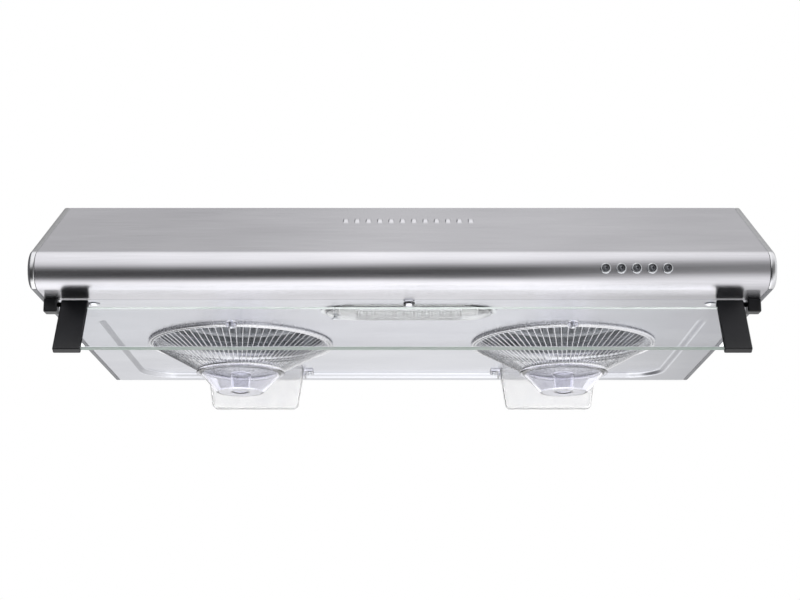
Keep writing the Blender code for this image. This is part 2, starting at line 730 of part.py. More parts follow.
def fan_wheel(side):
    """A drum of blades between a ring and a plate, whose domed hub reaches down round the shaft."""
    bore = SHAFT_RADIUS + GAP
    top = WHEEL_TOP_Z
    hub = top - HUB_DROP
    profile = [(HUB_RADIUS - 0.004, top), (WHEEL_RADIUS, top), (WHEEL_RADIUS, top - WHEEL_PLATE)]
    profile += [(HUB_RADIUS, top - WHEEL_PLATE), (HUB_RADIUS * 0.86, hub + 0.008)]
    profile += [(HUB_RADIUS * 0.62, hub), (HUB_RADIUS * 0.3, hub - WHEEL_PLATE), (bore, hub - WHEEL_PLATE)]
    profile += [(bore, hub), (HUB_RADIUS * 0.3, hub + WHEEL_PLATE), (HUB_RADIUS * 0.5, hub + WHEEL_PLATE)]
    profile += [(HUB_RADIUS * 0.76, hub + 0.011)]
    wheel = turned(f"fan_wheel_{side}", profile, GREY, closed=True)
    wheel.location = (SIDES[side] * FAN_X, FAN_Y, 0)
    inner = WHEEL_RADIUS - WHEEL_RING_WIDTH
    low = WHEEL_BOTTOM_Z
    ring_top = low + WHEEL_RING_HEIGHT
    ring_line = [(inner, ring_top), (WHEEL_RADIUS, ring_top), (WHEEL_RADIUS, low), (inner, low)]
    ring = turned("wheel_ring", ring_line, GREY, closed=True)
    ring.location = wheel.location
    join(wheel, wheel_blades(SIDES[side]), ring)


def wheel_blades(sign):
    """The blades, standing apart from each other and leaning with the turn."""
    bm = bmesh.new()
    height = WHEEL_HEIGHT - WHEEL_PLATE
    middle = (WHEEL_TOP_Z + WHEEL_BOTTOM_Z) / 2
    radius = WHEEL_RADIUS - WHEEL_RING_WIDTH / 2 - BLADE_THICKNESS / 2
    size = Matrix.Diagonal((BLADE_CHORD, BLADE_THICKNESS, height, 1.0))
    lean = Matrix.Rotation(sign * BLADE_ANGLE, 4, "Z")
    for i in range(BLADE_COUNT):
        place = Matrix.Rotation(math.tau * i / BLADE_COUNT, 4, "Z") @ Matrix.Translation((radius, 0, middle))
        bmesh.ops.create_cube(bm, size=1.0, matrix=place @ lean @ size)
    mesh = bpy.data.meshes.new("wheel_blades")
    bm.to_mesh(mesh)
    bm.free()
    blades = placed("wheel_blades", mesh, GREY)
    blades.location = (sign * FAN_X, FAN_Y, 0)
    return blades


def fan_nut(side):
    """A six-sided nut with a blind bore over the shaft's end."""
    top = WHEEL_TOP_Z - HUB_DROP - WHEEL_PLATE - GAP
    centre = (SIDES[side] * FAN_X, FAN_Y, top - NUT_HEIGHT / 2)
    nut = rod(f"fan_nut_{side}", centre, NUT_RADIUS, NUT_HEIGHT, WHITE, sides=6)
    depth = top - shaft_bottom_z() + GAP
    bore_centre = (centre[0], centre[1], top)
    cut(nut, rod("nut_bore", bore_centre, SHAFT_RADIUS + GAP, 2 * depth, BLACK, sides=SMALL_ROUND))


# ---------------------------------------------------------------- exhaust


def exhaust_plenum():
    """The box between the blowers, open to both of them and to the collar above."""
    top = -SHEET - COLLAR_WALL - 2 * GAP
    half = PLENUM_HALF_WIDTH
    front = COLLAR_Y - PLENUM_LENGTH / 2
    back = COLLAR_Y + PLENUM_LENGTH / 2
    plenum = box("exhaust_plenum", (-half, front, CASING_BOTTOM_Z), (half, back, top), GALVANISED)
    wall = CASING_WALL
    low = (wall - half, front + wall, CASING_BOTTOM_Z + wall)
    cut(plenum, box("plenum_hollow", low, (half - wall, back - wall, top - wall), BLACK))
    cutoff_y = FAN_Y + SCROLL_START_RADIUS * math.sin(SCROLL_START_ANGLE) + wall
    mouth_low = (-half - THROUGH, cutoff_y, CASING_BOTTOM_Z + 2 * wall)
    mouth_high = (half + THROUGH, FAN_Y + SCROLL_END_RADIUS - wall, CASING_TOP_Z - wall)
    outlet_radius = COLLAR_RADIUS - COLLAR_WALL - SHEET
    outlet = rod("plenum_outlet", (0, COLLAR_Y, top), outlet_radius, THROUGH, BLACK, sides=LARGE_ROUND)
    cut(plenum, box("plenum_mouths", mouth_low, mouth_high, BLACK), outlet)


def exhaust_collar():
    """A round spigot with its flange under the top sheet and a spindle for the flaps."""
    outer, inner = COLLAR_RADIUS, COLLAR_RADIUS - COLLAR_WALL
    flange_z = -SHEET - GAP
    profile = [(inner, COLLAR_HEIGHT), (outer, COLLAR_HEIGHT), (outer, flange_z)]
    profile += [(outer + COLLAR_FLANGE, flange_z), (outer + COLLAR_FLANGE, flange_z - COLLAR_WALL)]
    profile += [(inner, flange_z - COLLAR_WALL)]
    collar = turned("exhaust_collar", profile, GALVANISED, closed=True)
    collar.location = (0, COLLAR_Y, 0)
    length = 2 * (inner + COLLAR_WALL / 2)
    join(collar, rod("spindle", (0, COLLAR_Y, FLAP_HEIGHT), SPINDLE_RADIUS, length, STEEL, "X", 12))


def damper_flap(name, direction):
    """Half a disc, hinged along its straight edge beside the spindle."""
    radius = COLLAR_RADIUS - COLLAR_WALL - FLAP_SIDE_SPACE
    start = math.asin(FLAP_HINGE_OFFSET / radius)
    edge = arc((0, 0), radius, start, math.pi - start, 18)
    outline = [(x, direction * (y - FLAP_HINGE_OFFSET)) for x, y in edge]
    flap = flat_solid(name, outline, FLAP_THICKNESS, GREY)
    flap.location = (0, COLLAR_Y + direction * FLAP_HINGE_OFFSET, FLAP_HEIGHT)


# ---------------------------------------------------------------- guards, clips and bowls


def ring_of_wire(name, radius, wire, height, finish, around=LARGE_ROUND, sides=6):
    bpy.ops.mesh.primitive_torus_add(
        major_radius=radius, minor_radius=wire, major_segments=around, minor_segments=sides
    )
    ring = bpy.context.active_object
    for collection in list(ring.users_collection):
        collection.objects.unlink(ring)
    PARTS.objects.link(ring)
    ring.name = name
    ring.data.materials.append(finish)
    ring.location.z = height
    return ring


def guard(side):
    """A cone of radial wires between an outer rim and the ring that holds the bowl."""
    centre = Vector((SIDES[side] * FAN_X, FAN_Y, 0))
    frame = ring_of_wire(f"guard_{side}", GUARD_RADIUS, GUARD_RIM_WIRE, GUARD_RIM_Z, CHROME)
    frame.location.xy = centre.xy
    ring = ring_of_wire("bowl_ring", GUARD_RING_RADIUS, GUARD_RING_WIRE, GUARD_RING_Z, CHROME)
    ring.location.xy = centre.xy
    bm = bmesh.new()
    start = Vector((GUARD_RADIUS, 0, GUARD_RIM_Z))
    end = Vector((GUARD_RING_RADIUS, 0, GUARD_RING_Z))
    tilt = (end - start).to_track_quat("Z", "Y").to_matrix().to_4x4()
    middle = Matrix.Translation((start + end) / 2)
    for i in range(GUARD_WIRES):
        turn = Matrix.Rotation(math.tau * (i + 0.3) / GUARD_WIRES, 4, "Z")
        bmesh.ops.create_cone(
            bm,
            cap_ends=True,
            segments=4,
            radius1=GUARD_WIRE,
            radius2=GUARD_WIRE,
            depth=(end - start).length,
            matrix=turn @ middle @ tilt,
        )
    mesh = bpy.data.meshes.new("guard_wires")
    bm.to_mesh(mesh)
    bm.free()
    wires = placed("guard_wires", mesh, CHROME)
    wires.location = centre
    join(frame, wires, ring)
    smooth(frame, 60)


def clip_centre_y():
    """The clip's screw stands just outside the rim, at the guard's front."""
    return FAN_Y - GUARD_RADIUS - GUARD_RIM_WIRE - GAP - CLIP_RADIUS


def clip_tab_top_z():
    return GUARD_RIM_Z - GUARD_RIM_WIRE - GAP


def guard_clip(side):
    """A round boss with a tab that reaches under the rim, bored for its screw."""
    x, y = SIDES[side] * FAN_X, clip_centre_y()
    tab_top = clip_tab_top_z()
    bottom = tab_top - CLIP_TAB_THICKNESS
    top = PLATEAU_Z - GAP
    clip = rod(f"guard_clip_{side}", (0, 0, (top + bottom) / 2), CLIP_RADIUS, top - bottom, CLEAR)
    clip.location = (x, y, (top + bottom) / 2)
    half = CLIP_TAB_WIDTH / 2
    reach = CLIP_RADIUS + GAP + CLIP_REACH
    tab = box("clip_tab", (x - half, y, bottom + GAP / 6), (x + half, y + reach, tab_top), CLEAR)
    join(clip, tab)
    cut(clip, rod("clip_bore", (x, y, bottom), CLIP_SCREW_RADIUS + GAP, THROUGH, BLACK, sides=SMALL_ROUND))


def guard_clip_screw(side):
    """A pan-head screw that holds the clip and lets it turn."""
    low = clip_tab_top_z() - CLIP_TAB_THICKNESS - GAP
    shank = CLIP_SCREW_RADIUS
    top = PLATEAU_Z + SHEET + SCREW_PAST_SHEET
    head, height = CLIP_SCREW_HEAD, CLIP_SCREW_HEAD_HEIGHT
    profile = [(0, top), (shank, top - SCREW_CHAMFER), (shank, low), (head, low)]
    profile += [(head, low - height * 0.4), (head * 0.6, low - height * 0.9), (0, low - height)]
    screw = turned(f"guard_clip_screw_{side}", profile, CHROME, steps=SMALL_ROUND)
    screw.location = (SIDES[side] * FAN_X, clip_centre_y(), 0)


def oil_bowl(side):
    """A clear bowl whose neck fits up inside the guard's ring, with a hollow boss in its middle."""
    neck = GUARD_RING_RADIUS - GUARD_RING_WIRE - 2 * GAP
    lip_top = GUARD_RING_Z - GUARD_RING_WIRE - GAP
    top = lip_top + BOWL_NECK
    lip = GUARD_RING_RADIUS + BOWL_LIP
    lip_low = lip_top - BOWL_LIP_HEIGHT
    base = GUARD_RING_Z - BOWL_DEPTH
    floor = base + BOWL_WALL
    boss_top = base + BOWL_BOSS_HEIGHT
    wall = BOWL_WALL
    profile = [(neck - wall, top), (neck, top), (neck, lip_top), (lip, lip_top), (lip, lip_low)]
    corner = BOWL_BASE_RADIUS + BOWL_CORNER
    profile += [(neck + GAP, lip_low), (corner, base + BOWL_CORNER), (BOWL_BASE_RADIUS, base)]
    profile += [(BOWL_BOSS_BASE - wall, base), (BOWL_BOSS_TOP - wall, boss_top - wall), (0, boss_top - wall)]
    outside = profile
    inside = [(0, boss_top), (BOWL_BOSS_TOP, boss_top), (BOWL_BOSS_BASE, floor)]
    inside += [(BOWL_BASE_RADIUS - wall, floor), (corner - wall, floor + BOWL_CORNER)]
    inside += [(neck - wall, lip_low + GAP)]
    bowl = turned(f"oil_bowl_{side}", outside + inside, CLEAR, closed=True)
    weld_axis_line(bowl)
    bowl.location = (SIDES[side] * FAN_X, FAN_Y, 0)


def weld_axis_line(obj):
    """Drops the profile's edge that lies on the axis, which would sweep no surface."""
    bm = bmesh.new()
    bm.from_mesh(obj.data)
    on_axis = [e for e in bm.edges if all(v.co.x == 0.0 for v in e.verts)]
    bmesh.ops.delete(bm, geom=on_axis, context="EDGES_FACES")
    bm.to_mesh(obj.data)
    bm.free()


# ---------------------------------------------------------------- oil cups


def oil_cup(side):
    """A tapered open box, rounded down its corners."""
    x = SIDES[side] * CUP_X
    top = PLATEAU_Z - 3 * GAP
    y = CUP_FRONT_Y + CUP_LENGTH / 2
    bm = bmesh.new()
    bmesh.ops.create_cube(bm, size=1.0)
    for vert in bm.verts:
        upper = vert.co.z > 0
        vert.co.x *= CUP_WIDTH if upper else CUP_BASE_WIDTH
        vert.co.y *= CUP_LENGTH if upper else CUP_BASE_LENGTH
        vert.co.z = 0.0 if upper else -CUP_HEIGHT
    lid = [face for face in bm.faces if face.normal.z > 0.9]
    bmesh.ops.delete(bm, geom=lid, context="FACES_ONLY")
    rounded = [edge for edge in bm.edges if not edge.is_boundary]
    bmesh.ops.bevel(bm, geom=rounded, offset=CUP_ROUNDING, segments=3, profile=0.5, affect="EDGES")
    cup = pressed_sheet(f"oil_cup_{side}", bm, FROSTED, CUP_WALL)
    cup.location = (x, y, top)


def cup_clip(side, end):
    """An angle that grips one end of a cup, fixed to the panel."""
    outward = SIDES[end]
    cup_edge = SIDES[side] * CUP_X + outward * (CUP_WIDTH / 2 + GAP)
    far = cup_edge + outward * CUP_CLIP_WIDTH
    near_x, far_x = sorted((cup_edge, far))
    y = CUP_FRONT_Y + CUP_LENGTH / 2 - CUP_CLIP_LENGTH / 2
    top = PLATEAU_Z - GAP
    name = f"cup_clip_{side}_{'outer' if outward == SIDES[side] else 'inner'}"
    far_corner = (far_x, y + CUP_CLIP_LENGTH, top)
    clip = box(name, (near_x, y, top - CUP_CLIP_DROP), far_corner, CLEAR)
    past = THROUGH / 4
    space = sorted((cup_edge + outward * CUP_CLIP_WALL, far + outward * past))
    low = (space[0], y - past, top - CUP_CLIP_DROP - past)
    high = (space[1], y + CUP_CLIP_LENGTH + past, top - CUP_CLIP_WALL)
    cut(clip, box("clip_space", low, high, BLACK))


# ---------------------------------------------------------------- lamp


def lamp_lens():
    """A shallow clear dome with a flat flange that covers the edge of its opening."""
    bm = bmesh.new()
    flange_z = LENS_TOP_Z - LENS_WALL
    flange = LENS_OVERLAP + SHEET
    rings = [(0.0, flange_z), (flange, flange_z)]
    for share in (0.4, 0.75, 1.0):
        shrink = flange + LENS_DOME_REACH * (1 - math.sqrt(1 - share * share))
        rings.append((shrink, flange_z - LENS_DOME * share))
    loops = []
    for shrink, height in rings:
        points = [(x + LAMP_X, y + LAMP_Y) for x, y in oval(LENS_LENGTH, LENS_WIDTH, shrink)]
        loops.append(loop_of(bm, points, height))
    for outer, inner in zip(loops, loops[1:]):
        bmesh.ops.bridge_loops(bm, edges=outer + inner)
    bmesh.ops.triangle_fill(bm, edges=loops[-1], use_beauty=True)
    lens = pressed_sheet("lamp_lens", bm, CLEAR, LENS_WALL)
    hole = (lamp_screw_x(), LAMP_Y, flange_z)
    cut(lens, rod("lens_hole", hole, LIP_SHANK_RADIUS + GAP, THROUGH, BLACK, sides=12))


def lamp_screw_x():
    return LAMP_X - LENS_LENGTH / 2 + LENS_OVERLAP + LAMP_SCREW_INSET


def lamp_screw():
    """A knurled thumb screw through the lens into the lamp box."""
    low = LENS_TOP_Z - LENS_WALL - LENS_DOME - GAP
    top = UNDERSIDE_Z + SHEET + SCREW_PAST_SHEET
    shank, head, height = LIP_SHANK_RADIUS, LAMP_SCREW_HEAD, LAMP_SCREW_HEAD_HEIGHT
    profile = [(0, top), (shank, top - SCREW_CHAMFER), (shank, low), (head, low)]
    profile += [(head, low - height * 0.7), (head * 0.8, low - height), (0, low - height)]
    screw = turned("lamp_screw", profile, STEEL, steps=SMALL_ROUND)
    screw.location = (lamp_screw_x(), LAMP_Y, 0)


def lamp_housing():
    """A reflector tray, open below, on top of the bottom panel."""
    bm = bmesh.new()
    bmesh.ops.create_cube(bm, size=1.0)
    bmesh.ops.scale(bm, vec=(LAMP_BOX_LENGTH, LAMP_BOX_WIDTH, LAMP_BOX_HEIGHT), verts=bm.verts)
    floor = [face for face in bm.faces if face.normal.z < -0.9]
    bmesh.ops.delete(bm, geom=floor, context="FACES_ONLY")
    bmesh.ops.recalc_face_normals(bm, faces=bm.faces)
    tray = pressed_sheet("lamp_housing", bm, GALVANISED, SHEET, inside_up=False)
    tray.location = (LAMP_X, LAMP_Y, UNDERSIDE_Z + SHEET + GAP + LAMP_BOX_HEIGHT / 2)


def lamp_tube_z():
    return UNDERSIDE_Z + SHEET + GAP + LAMP_TUBE_RISE


def lamp_tube():
    """A glass tube with rounded shoulders and a short pin at each end, one solid."""
    half = LAMP_TUBE_LENGTH / 2
    radius = LAMP_TUBE_RADIUS
    pin, end = LAMP_PIN_RADIUS, LAMP_TUBE_LENGTH / 2 + LAMP_PIN_LENGTH
    profile = [(0, end), (pin, end), (pin, half), (radius * 0.7, half)]
    profile += [(radius, half - LAMP_TUBE_SHOULDER), (radius, LAMP_TUBE_SHOULDER - half)]
    profile += [(radius * 0.7, -half), (pin, -half), (pin, -end), (0, -end)]
    tube = turned("lamp_tube", profile, GLASS, steps=SMALL_ROUND)
    tube.rotation_euler = (0, math.pi / 2, 0)
    tube.location = (LAMP_X, LAMP_Y, lamp_tube_z())


def lamp_holder():
    """A strip with a socket at each end, bored for the lamp's pins."""
    inner = LAMP_TUBE_LENGTH / 2 + 2 * GAP
    outer = inner + SOCKET_LENGTH
    low_z = lamp_tube_z() + LAMP_TUBE_RADIUS + 2 * GAP
    half = HOLDER_WIDTH / 2
    low = (LAMP_X - outer, LAMP_Y - half, low_z)
    high = (LAMP_X + outer, LAMP_Y + half, low_z + HOLDER_STRIP)
    holder = box("lamp_holder", low, high, WHITE)
    for sign in SIDES.values():
        centre = (LAMP_X + sign * (inner + outer) / 2, LAMP_Y, lamp_tube_z())
        join(holder, rod("socket", centre, SOCKET_RADIUS, SOCKET_LENGTH - GAP, WHITE, "X", 20))
        pin_hole = (LAMP_X + sign * inner, LAMP_Y, lamp_tube_z())
        cut(holder, rod("pin_hole", pin_hole, LAMP_PIN_RADIUS + GAP, 2 * LAMP_PIN_HOLE, BLACK, "X", 12))


# ---------------------------------------------------------------- buttons


def button_places():
    first = BUTTON_CENTRE_X - BUTTON_PITCH * (BUTTON_COUNT - 1) / 2
    return [first + BUTTON_PITCH * i for i in range(BUTTON_COUNT)]


def facing_front(obj, x):
    """Turns a profile drawn along Z to face the front, its zero at the nose."""
    obj.rotation_euler = (math.pi / 2, 0, 0)
    obj.location = (x, FRONT_Y, BUTTON_Z)


def button_bezel(number, x):
    """A flanged ring through the nose that guides one button."""
    inner, tube, outer = BUTTON_RADIUS + GAP, BEZEL_TUBE_RADIUS, BEZEL_RADIUS
    proud, soft = BEZEL_PROUD, BEZEL_CHAMFER
    profile = [(inner, proud), (outer - soft, proud), (outer, proud - soft), (outer, GAP)]
    profile += [(tube, GAP), (tube, -BEZEL_LENGTH), (inner, -BEZEL_LENGTH)]
    facing_front(turned(f"button_bezel_{number}", profile, CHROME, steps=SMALL_ROUND, closed=True), x)


def push_button(number, x):
    """A dished cap with a stem that reaches into the switch block."""
    front = BEZEL_PROUD - BUTTON_SUNK
    back = front - BUTTON_LENGTH
    end = back - BUTTON_STEM
    dish = BUTTON_DISH
    profile = [(0, front - dish), (BUTTON_RADIUS - 2 * dish, front), (BUTTON_RADIUS, front - dish)]
    profile += [(BUTTON_RADIUS, back), (BUTTON_STEM_RADIUS, back), (BUTTON_STEM_RADIUS, end), (0, end)]
    facing_front(turned(f"button_{number}", profile, GREY, steps=SMALL_ROUND), x)


def switch_front_y():
    """The block stands clear of a cap that is pressed right in."""
    return FRONT_Y - BEZEL_PROUD + BUTTON_SUNK + BUTTON_LENGTH + BUTTON_TRAVEL + SWITCH_SPACE


def switch_block():
    """One block of five switches behind the nose."""
    places = button_places()
    front = switch_front_y()
    low = (places[0] - SWITCH_MARGIN, front, BUTTON_Z - SWITCH_HEIGHT / 2)
    high = (places[-1] + SWITCH_MARGIN, front + SWITCH_DEPTH, BUTTON_Z + SWITCH_HEIGHT / 2)
    block = box("switch_block", low, high, BLACK)
    for x in places:
        hole = (x, front, BUTTON_Z)
        depth = SWITCH_HOLE_DEPTH
        cut(block, rod("stem_hole", hole, BUTTON_STEM_RADIUS + GAP, 2 * depth, BLACK, "Y", 12))


# ---------------------------------------------------------------- visor


def visor_pivot():
    """An empty on the hinge line; the visor is drawn shut and hangs from it at its angle."""
    pivot = bpy.data.objects.new("visor_pivot", None)
    PARTS.objects.link(pivot)
    pivot.location = (0, VISOR_PIVOT_Y, VISOR_PIVOT_Z)
    pivot.rotation_euler = (VISOR_ANGLE, 0, 0)
    return pivot


def visor_arm(side, pivot):
    """A flat arm, slotted for the glass, with its pin towards the pivot block."""
    sign = SIDES[side]
    near, far = sorted((sign * ARM_INNER_X, sign * ARM_OUTER_X))
    half = ARM_THICKNESS / 2
    low, high = (near, -ARM_LENGTH, -half), (far, half, half)
    arm = box(f"visor_arm_{side}", low, high, BLACK, ARM_ROUNDING)
    slot_near, slot_far = sorted((sign * (ARM_INNER_X - THROUGH), sign * (ARM_INNER_X + ARM_SLOT_DEPTH)))
    slot_half = GLASS_THICKNESS / 2 + GAP
    low = (slot_near, -ARM_LENGTH + ARM_CORNER, -slot_half)
    slot = box("glass_slot", low, (slot_far, GAP - GLASS_START, slot_half), BLACK)
    root = PIVOT_PIN_RADIUS
    pin_x = sign * (ARM_OUTER_X + (PIVOT_PIN_LENGTH - root) / 2)
    pin = rod("pivot_pin", (pin_x, 0, 0), PIVOT_PIN_RADIUS, PIVOT_PIN_LENGTH + root, BLACK, "X", 16)
    cut(arm, slot)
    join(arm, pin)
    for piece in (arm, slot, pin):
        piece.parent = pivot


def visor_glass(pivot):
    """A tempered pane held in the slots of both arms."""
    half_x = ARM_INNER_X + ARM_SLOT_DEPTH - GAP
    half_z = GLASS_THICKNESS / 2
    low = (-half_x, -ARM_LENGTH + ARM_CORNER + GAP, -half_z)
    pane = box("visor_glass", low, (half_x, -GLASS_START, half_z), GLASS, GLASS_ROUNDING)
    pane.parent = pivot


def visor_pivot_block(side):
    """A block under the lip with the bore that the arm's pin turns in."""
    sign = SIDES[side]
    near = ARM_OUTER_X + BLOCK_SPACE
    low_x, high_x = sorted((sign * near, sign * (near + BLOCK_WIDTH)))
    low = (low_x, VISOR_PIVOT_Y - BLOCK_LENGTH / 2, UNDERSIDE_Z - GAP - BLOCK_HEIGHT)
    high = (high_x, VISOR_PIVOT_Y + BLOCK_LENGTH / 2, UNDERSIDE_Z - GAP)
    block = box(f"visor_pivot_block_{side}", low, high, BLACK, BLOCK_ROUNDING)
    bore = (sign * near, VISOR_PIVOT_Y, VISOR_PIVOT_Z)
    depth = 2 * (PIVOT_PIN_LENGTH - BLOCK_SPACE + 2 * GAP)
    cut(block, rod("pin_bore", bore, PIVOT_PIN_RADIUS + GAP, depth, BLACK, "X", 16))


# ---------------------------------------------------------------- small fittings


def lip_head_y():
    return LIP_Y + LIP_HEAD_BACK


def lip_screw(side):
    """A domed head on the bottom panel, behind the lip."""
    top = UNDERSIDE_Z + LIP_SHANK_LENGTH
    low = UNDERSIDE_Z - GAP
    shank, head = LIP_SHANK_RADIUS, LIP_HEAD_RADIUS
    profile = [(0, top), (shank, top), (shank, low), (head, low), (head * 0.92, low - LIP_HEAD_HEIGHT * 0.5)]
    profile += [(head * 0.6, low - LIP_HEAD_HEIGHT * 0.9), (0, low - LIP_HEAD_HEIGHT)]
    screw = turned(f"lip_screw_{side}", profile, CHROME, steps=SMALL_ROUND)
    screw.location = (SIDES[side] * LIP_HEAD_X, lip_head_y(), 0)


def visor_bumper():
    """A clear button in the middle of the lip that the open glass rests near."""
    low = UNDERSIDE_Z - GAP
    radius = BUMPER_RADIUS
    profile = [(0, low), (radius, low), (radius, low - BUMPER_HEIGHT * 0.6)]
    profile += [(radius * 0.7, low - BUMPER_HEIGHT), (0, low - BUMPER_HEIGHT)]
    bumper = turned("visor_bumper", profile, CLEAR, steps=SMALL_ROUND)
    bumper.location = (LAMP_X, LIP_Y + BUMPER_BACK, 0)


def terminal_box():
    """A closed junction box under the top sheet."""
    x, y = TERMINAL_CENTRE
    wide, long, high = TERMINAL_BOX
    top = -SHEET - GAP
    low = (x - wide / 2, y - long / 2, top - high)
    box("terminal_box", low, (x + wide / 2, y + long / 2, top), BLACK, TERMINAL_ROUNDING)


def capacitor():
    x, y = CAPACITOR_CENTRE
    z = -SHEET - GAP - CAPACITOR_RADIUS
    rod("capacitor", (x, y, z), CAPACITOR_RADIUS, CAPACITOR_LENGTH, WHITE, "X")


def cable_gland():
    """A gland pushed up through the top sheet from inside, bored for a power cable."""
    flange_z = -SHEET - GAP
    flange_low = flange_z - GLAND_FLANGE_HEIGHT
    radius, height = GLAND_RADIUS, GLAND_HEIGHT
    profile = [(GLAND_BORE, height), (radius * 0.7, height), (radius, height * 0.6), (radius, flange_z)]
    profile += [(GLAND_FLANGE, flange_z), (GLAND_FLANGE, flange_low), (GLAND_BORE, flange_low)]
    gland = turned("cable_gland", profile, BLACK, steps=MEDIUM_ROUND, closed=True)
    gland.location = (*GLAND_CENTRE, 0)


# ---------------------------------------------------------------- assembly


def range_hood():
    canopy_shell()
    back_panel()
    bottom_panel()
    exhaust_plenum()
    exhaust_collar()
    damper_flap("damper_flap_front", -1)
    damper_flap("damper_flap_rear", 1)
    pivot = visor_pivot()
    for side in SIDES:
        end_cap(side)
        blower_casing(side)
        motor(side)
        motor_shaft(side)
        fan_wheel(side)
        fan_nut(side)
        guard(side)
        guard_clip(side)
        guard_clip_screw(side)
        oil_bowl(side)
        oil_cup(side)
        for end in SIDES:
            cup_clip(side, end)
        visor_arm(side, pivot)
        visor_pivot_block(side)
        lip_screw(side)
    visor_glass(pivot)
    lamp_housing()
    lamp_tube()
    lamp_holder()
    lamp_lens()
    lamp_screw()
    switch_block()
    for number, x in enumerate(button_places(), start=1):
        button_bezel(number, x)
        push_button(number, x)
    visor_bumper()
    terminal_box()
    capacitor()
    cable_gland()
    print(len([obj for obj in PARTS.objects if obj.type == "MESH"]), "sub-parts")


range_hood()
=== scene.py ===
# %% [markdown]
# # Under cabinet range hood with two blowers
# The real hood is a wide, shallow stainless steel canopy that hangs under a kitchen cabinet. Below it are
# two round inlets with wire guards and clear grease bowls, a lamp, a hinged glass visor and two oil cups.
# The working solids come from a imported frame, and this script gives each of them its fine surface.
# They could be retouched in place, but new meshes around a fixed frame keep every size and joint true.

import json
import math

import bmesh
import bpy
from mathutils import Matrix, Vector


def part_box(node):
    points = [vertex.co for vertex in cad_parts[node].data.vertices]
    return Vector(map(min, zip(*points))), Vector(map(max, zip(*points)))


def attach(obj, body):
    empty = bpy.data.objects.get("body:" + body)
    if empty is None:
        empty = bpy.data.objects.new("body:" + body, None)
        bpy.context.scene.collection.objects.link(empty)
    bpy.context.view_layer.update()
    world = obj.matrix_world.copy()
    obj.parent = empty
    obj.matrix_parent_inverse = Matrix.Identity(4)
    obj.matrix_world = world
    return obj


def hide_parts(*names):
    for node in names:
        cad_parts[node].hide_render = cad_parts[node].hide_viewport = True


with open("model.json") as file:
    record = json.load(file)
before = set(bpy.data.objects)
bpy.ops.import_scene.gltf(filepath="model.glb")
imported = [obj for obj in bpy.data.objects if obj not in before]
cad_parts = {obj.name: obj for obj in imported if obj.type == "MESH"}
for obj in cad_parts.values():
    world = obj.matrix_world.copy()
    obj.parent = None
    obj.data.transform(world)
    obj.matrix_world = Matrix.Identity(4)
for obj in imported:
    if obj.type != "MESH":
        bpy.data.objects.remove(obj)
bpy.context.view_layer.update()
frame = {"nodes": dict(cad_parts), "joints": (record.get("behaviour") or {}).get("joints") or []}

# %% [markdown]
# ## Sizes
# Most places are read from the frame's own boxes, so a piece lands where its solid is. The few values below
# can't be read from a box, such as a bend radius or a wall. They could be measured from the meshes, but
# naming them keeps the steps readable. All of them are in metres, and one millimetre has its own name.

# %% Sizes that many pieces share
MM = 0.001
TINY = 0.001 * MM
GAP = 0.3 * MM
SHEET = 1.0 * MM
SIDES = {"left": -1, "right": 1}


def span(node):
    """Lowest corner, highest corner and centre of a node of the frame."""
    low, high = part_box(node)
    return low, high, (low + high) / 2


cap_low, cap_high, _ = span("end_cap_right")
shell_low, shell_high, _ = span("canopy_shell")
panel_low, panel_high, _ = span("bottom_panel")
BACK_Y = cap_high.y
FRONT_Y = cap_low.y
UNDERSIDE_Z = cap_low.z
HALF_WIDTH = cap_high.x
print(f"hood {2 * HALF_WIDTH:.3f} wide, {BACK_Y - FRONT_Y:.3f} deep, {-UNDERSIDE_Z:.3f} high")

# %% [markdown]
# ## Colour and nodes
# Blender's nodes work in linear light, while a paint chart or a screen gives sRGB, so each colour is written
# as an sRGB hex value and turned to linear in one place. Each material is a small tree of nodes. Typing
# every link by hand hides the idea, so one helper adds any node with its settings and its links.

# %% Hex to linear, and the one helper that adds a node


def linear(hex_colour):
    """An sRGB hex colour as linear red, green, blue and alpha."""
    channels = [int(hex_colour[i:i + 2], 16) / 255 for i in (1, 3, 5)]
    return [c / 12.92 if c <= 0.04045 else ((c + 0.055) / 1.055) ** 2.4 for c in channels] + [1.0]


def add(tree, kind, inputs=None, stops=(), **settings):
    """Adds a node: inputs are values or sockets that feed them, stops are a ramp's places and colours."""
    node = tree.nodes.new("ShaderNode" + kind)
    for name, value in settings.items():
        setattr(node, name, value)
    for name, value in (inputs or {}).items():
        if isinstance(value, bpy.types.NodeSocket):
            tree.links.new(value, node.inputs[name])
        else:
            node.inputs[name].default_value = value
    while stops and len(node.color_ramp.elements) < len(stops):
        node.color_ramp.elements.new(1.0)
    for i, (place, colour) in enumerate(stops):
        node.color_ramp.elements[i].position = place
        node.color_ramp.elements[i].color = colour
    return node


# %% [markdown]
# ## How a finish is built
# Real surfaces are never one flat tone. The belt, the mould or the plating bath leaves a pattern of a known
# size, and this pattern shifts the shade, the roughness and the relief a little. Painted pictures could
# hold it, but patterns made by nodes stay sharp close up. They are measured in millimetres on the piece.

# %% A new finish, a pattern in millimetres and what the pattern changes


def finish_of(name, **uniform):
    """A new material and its shader; the values given here are the same all over the surface."""
    made = bpy.data.materials.new(name)
    made.use_nodes = True
    shader = made.node_tree.nodes["Principled BSDF"]
    for socket, value in uniform.items():
        shader.inputs[socket.replace("_", " ")].default_value = value
    return made, made.node_tree, shader


def pattern(tree, size_mm, kind="TexNoise", **inputs):
    """A texture, one unit of which has the given size in millimetres along x, y and z."""
    place = add(tree, "TexCoord").outputs["Object"]
    sized = add(tree, "Mapping", {"Vector": place, "Scale": [1 / (size * MM) for size in size_mm]})
    return add(tree, kind, {"Vector": sized.outputs[0], "Scale": 1.0, **inputs}).outputs


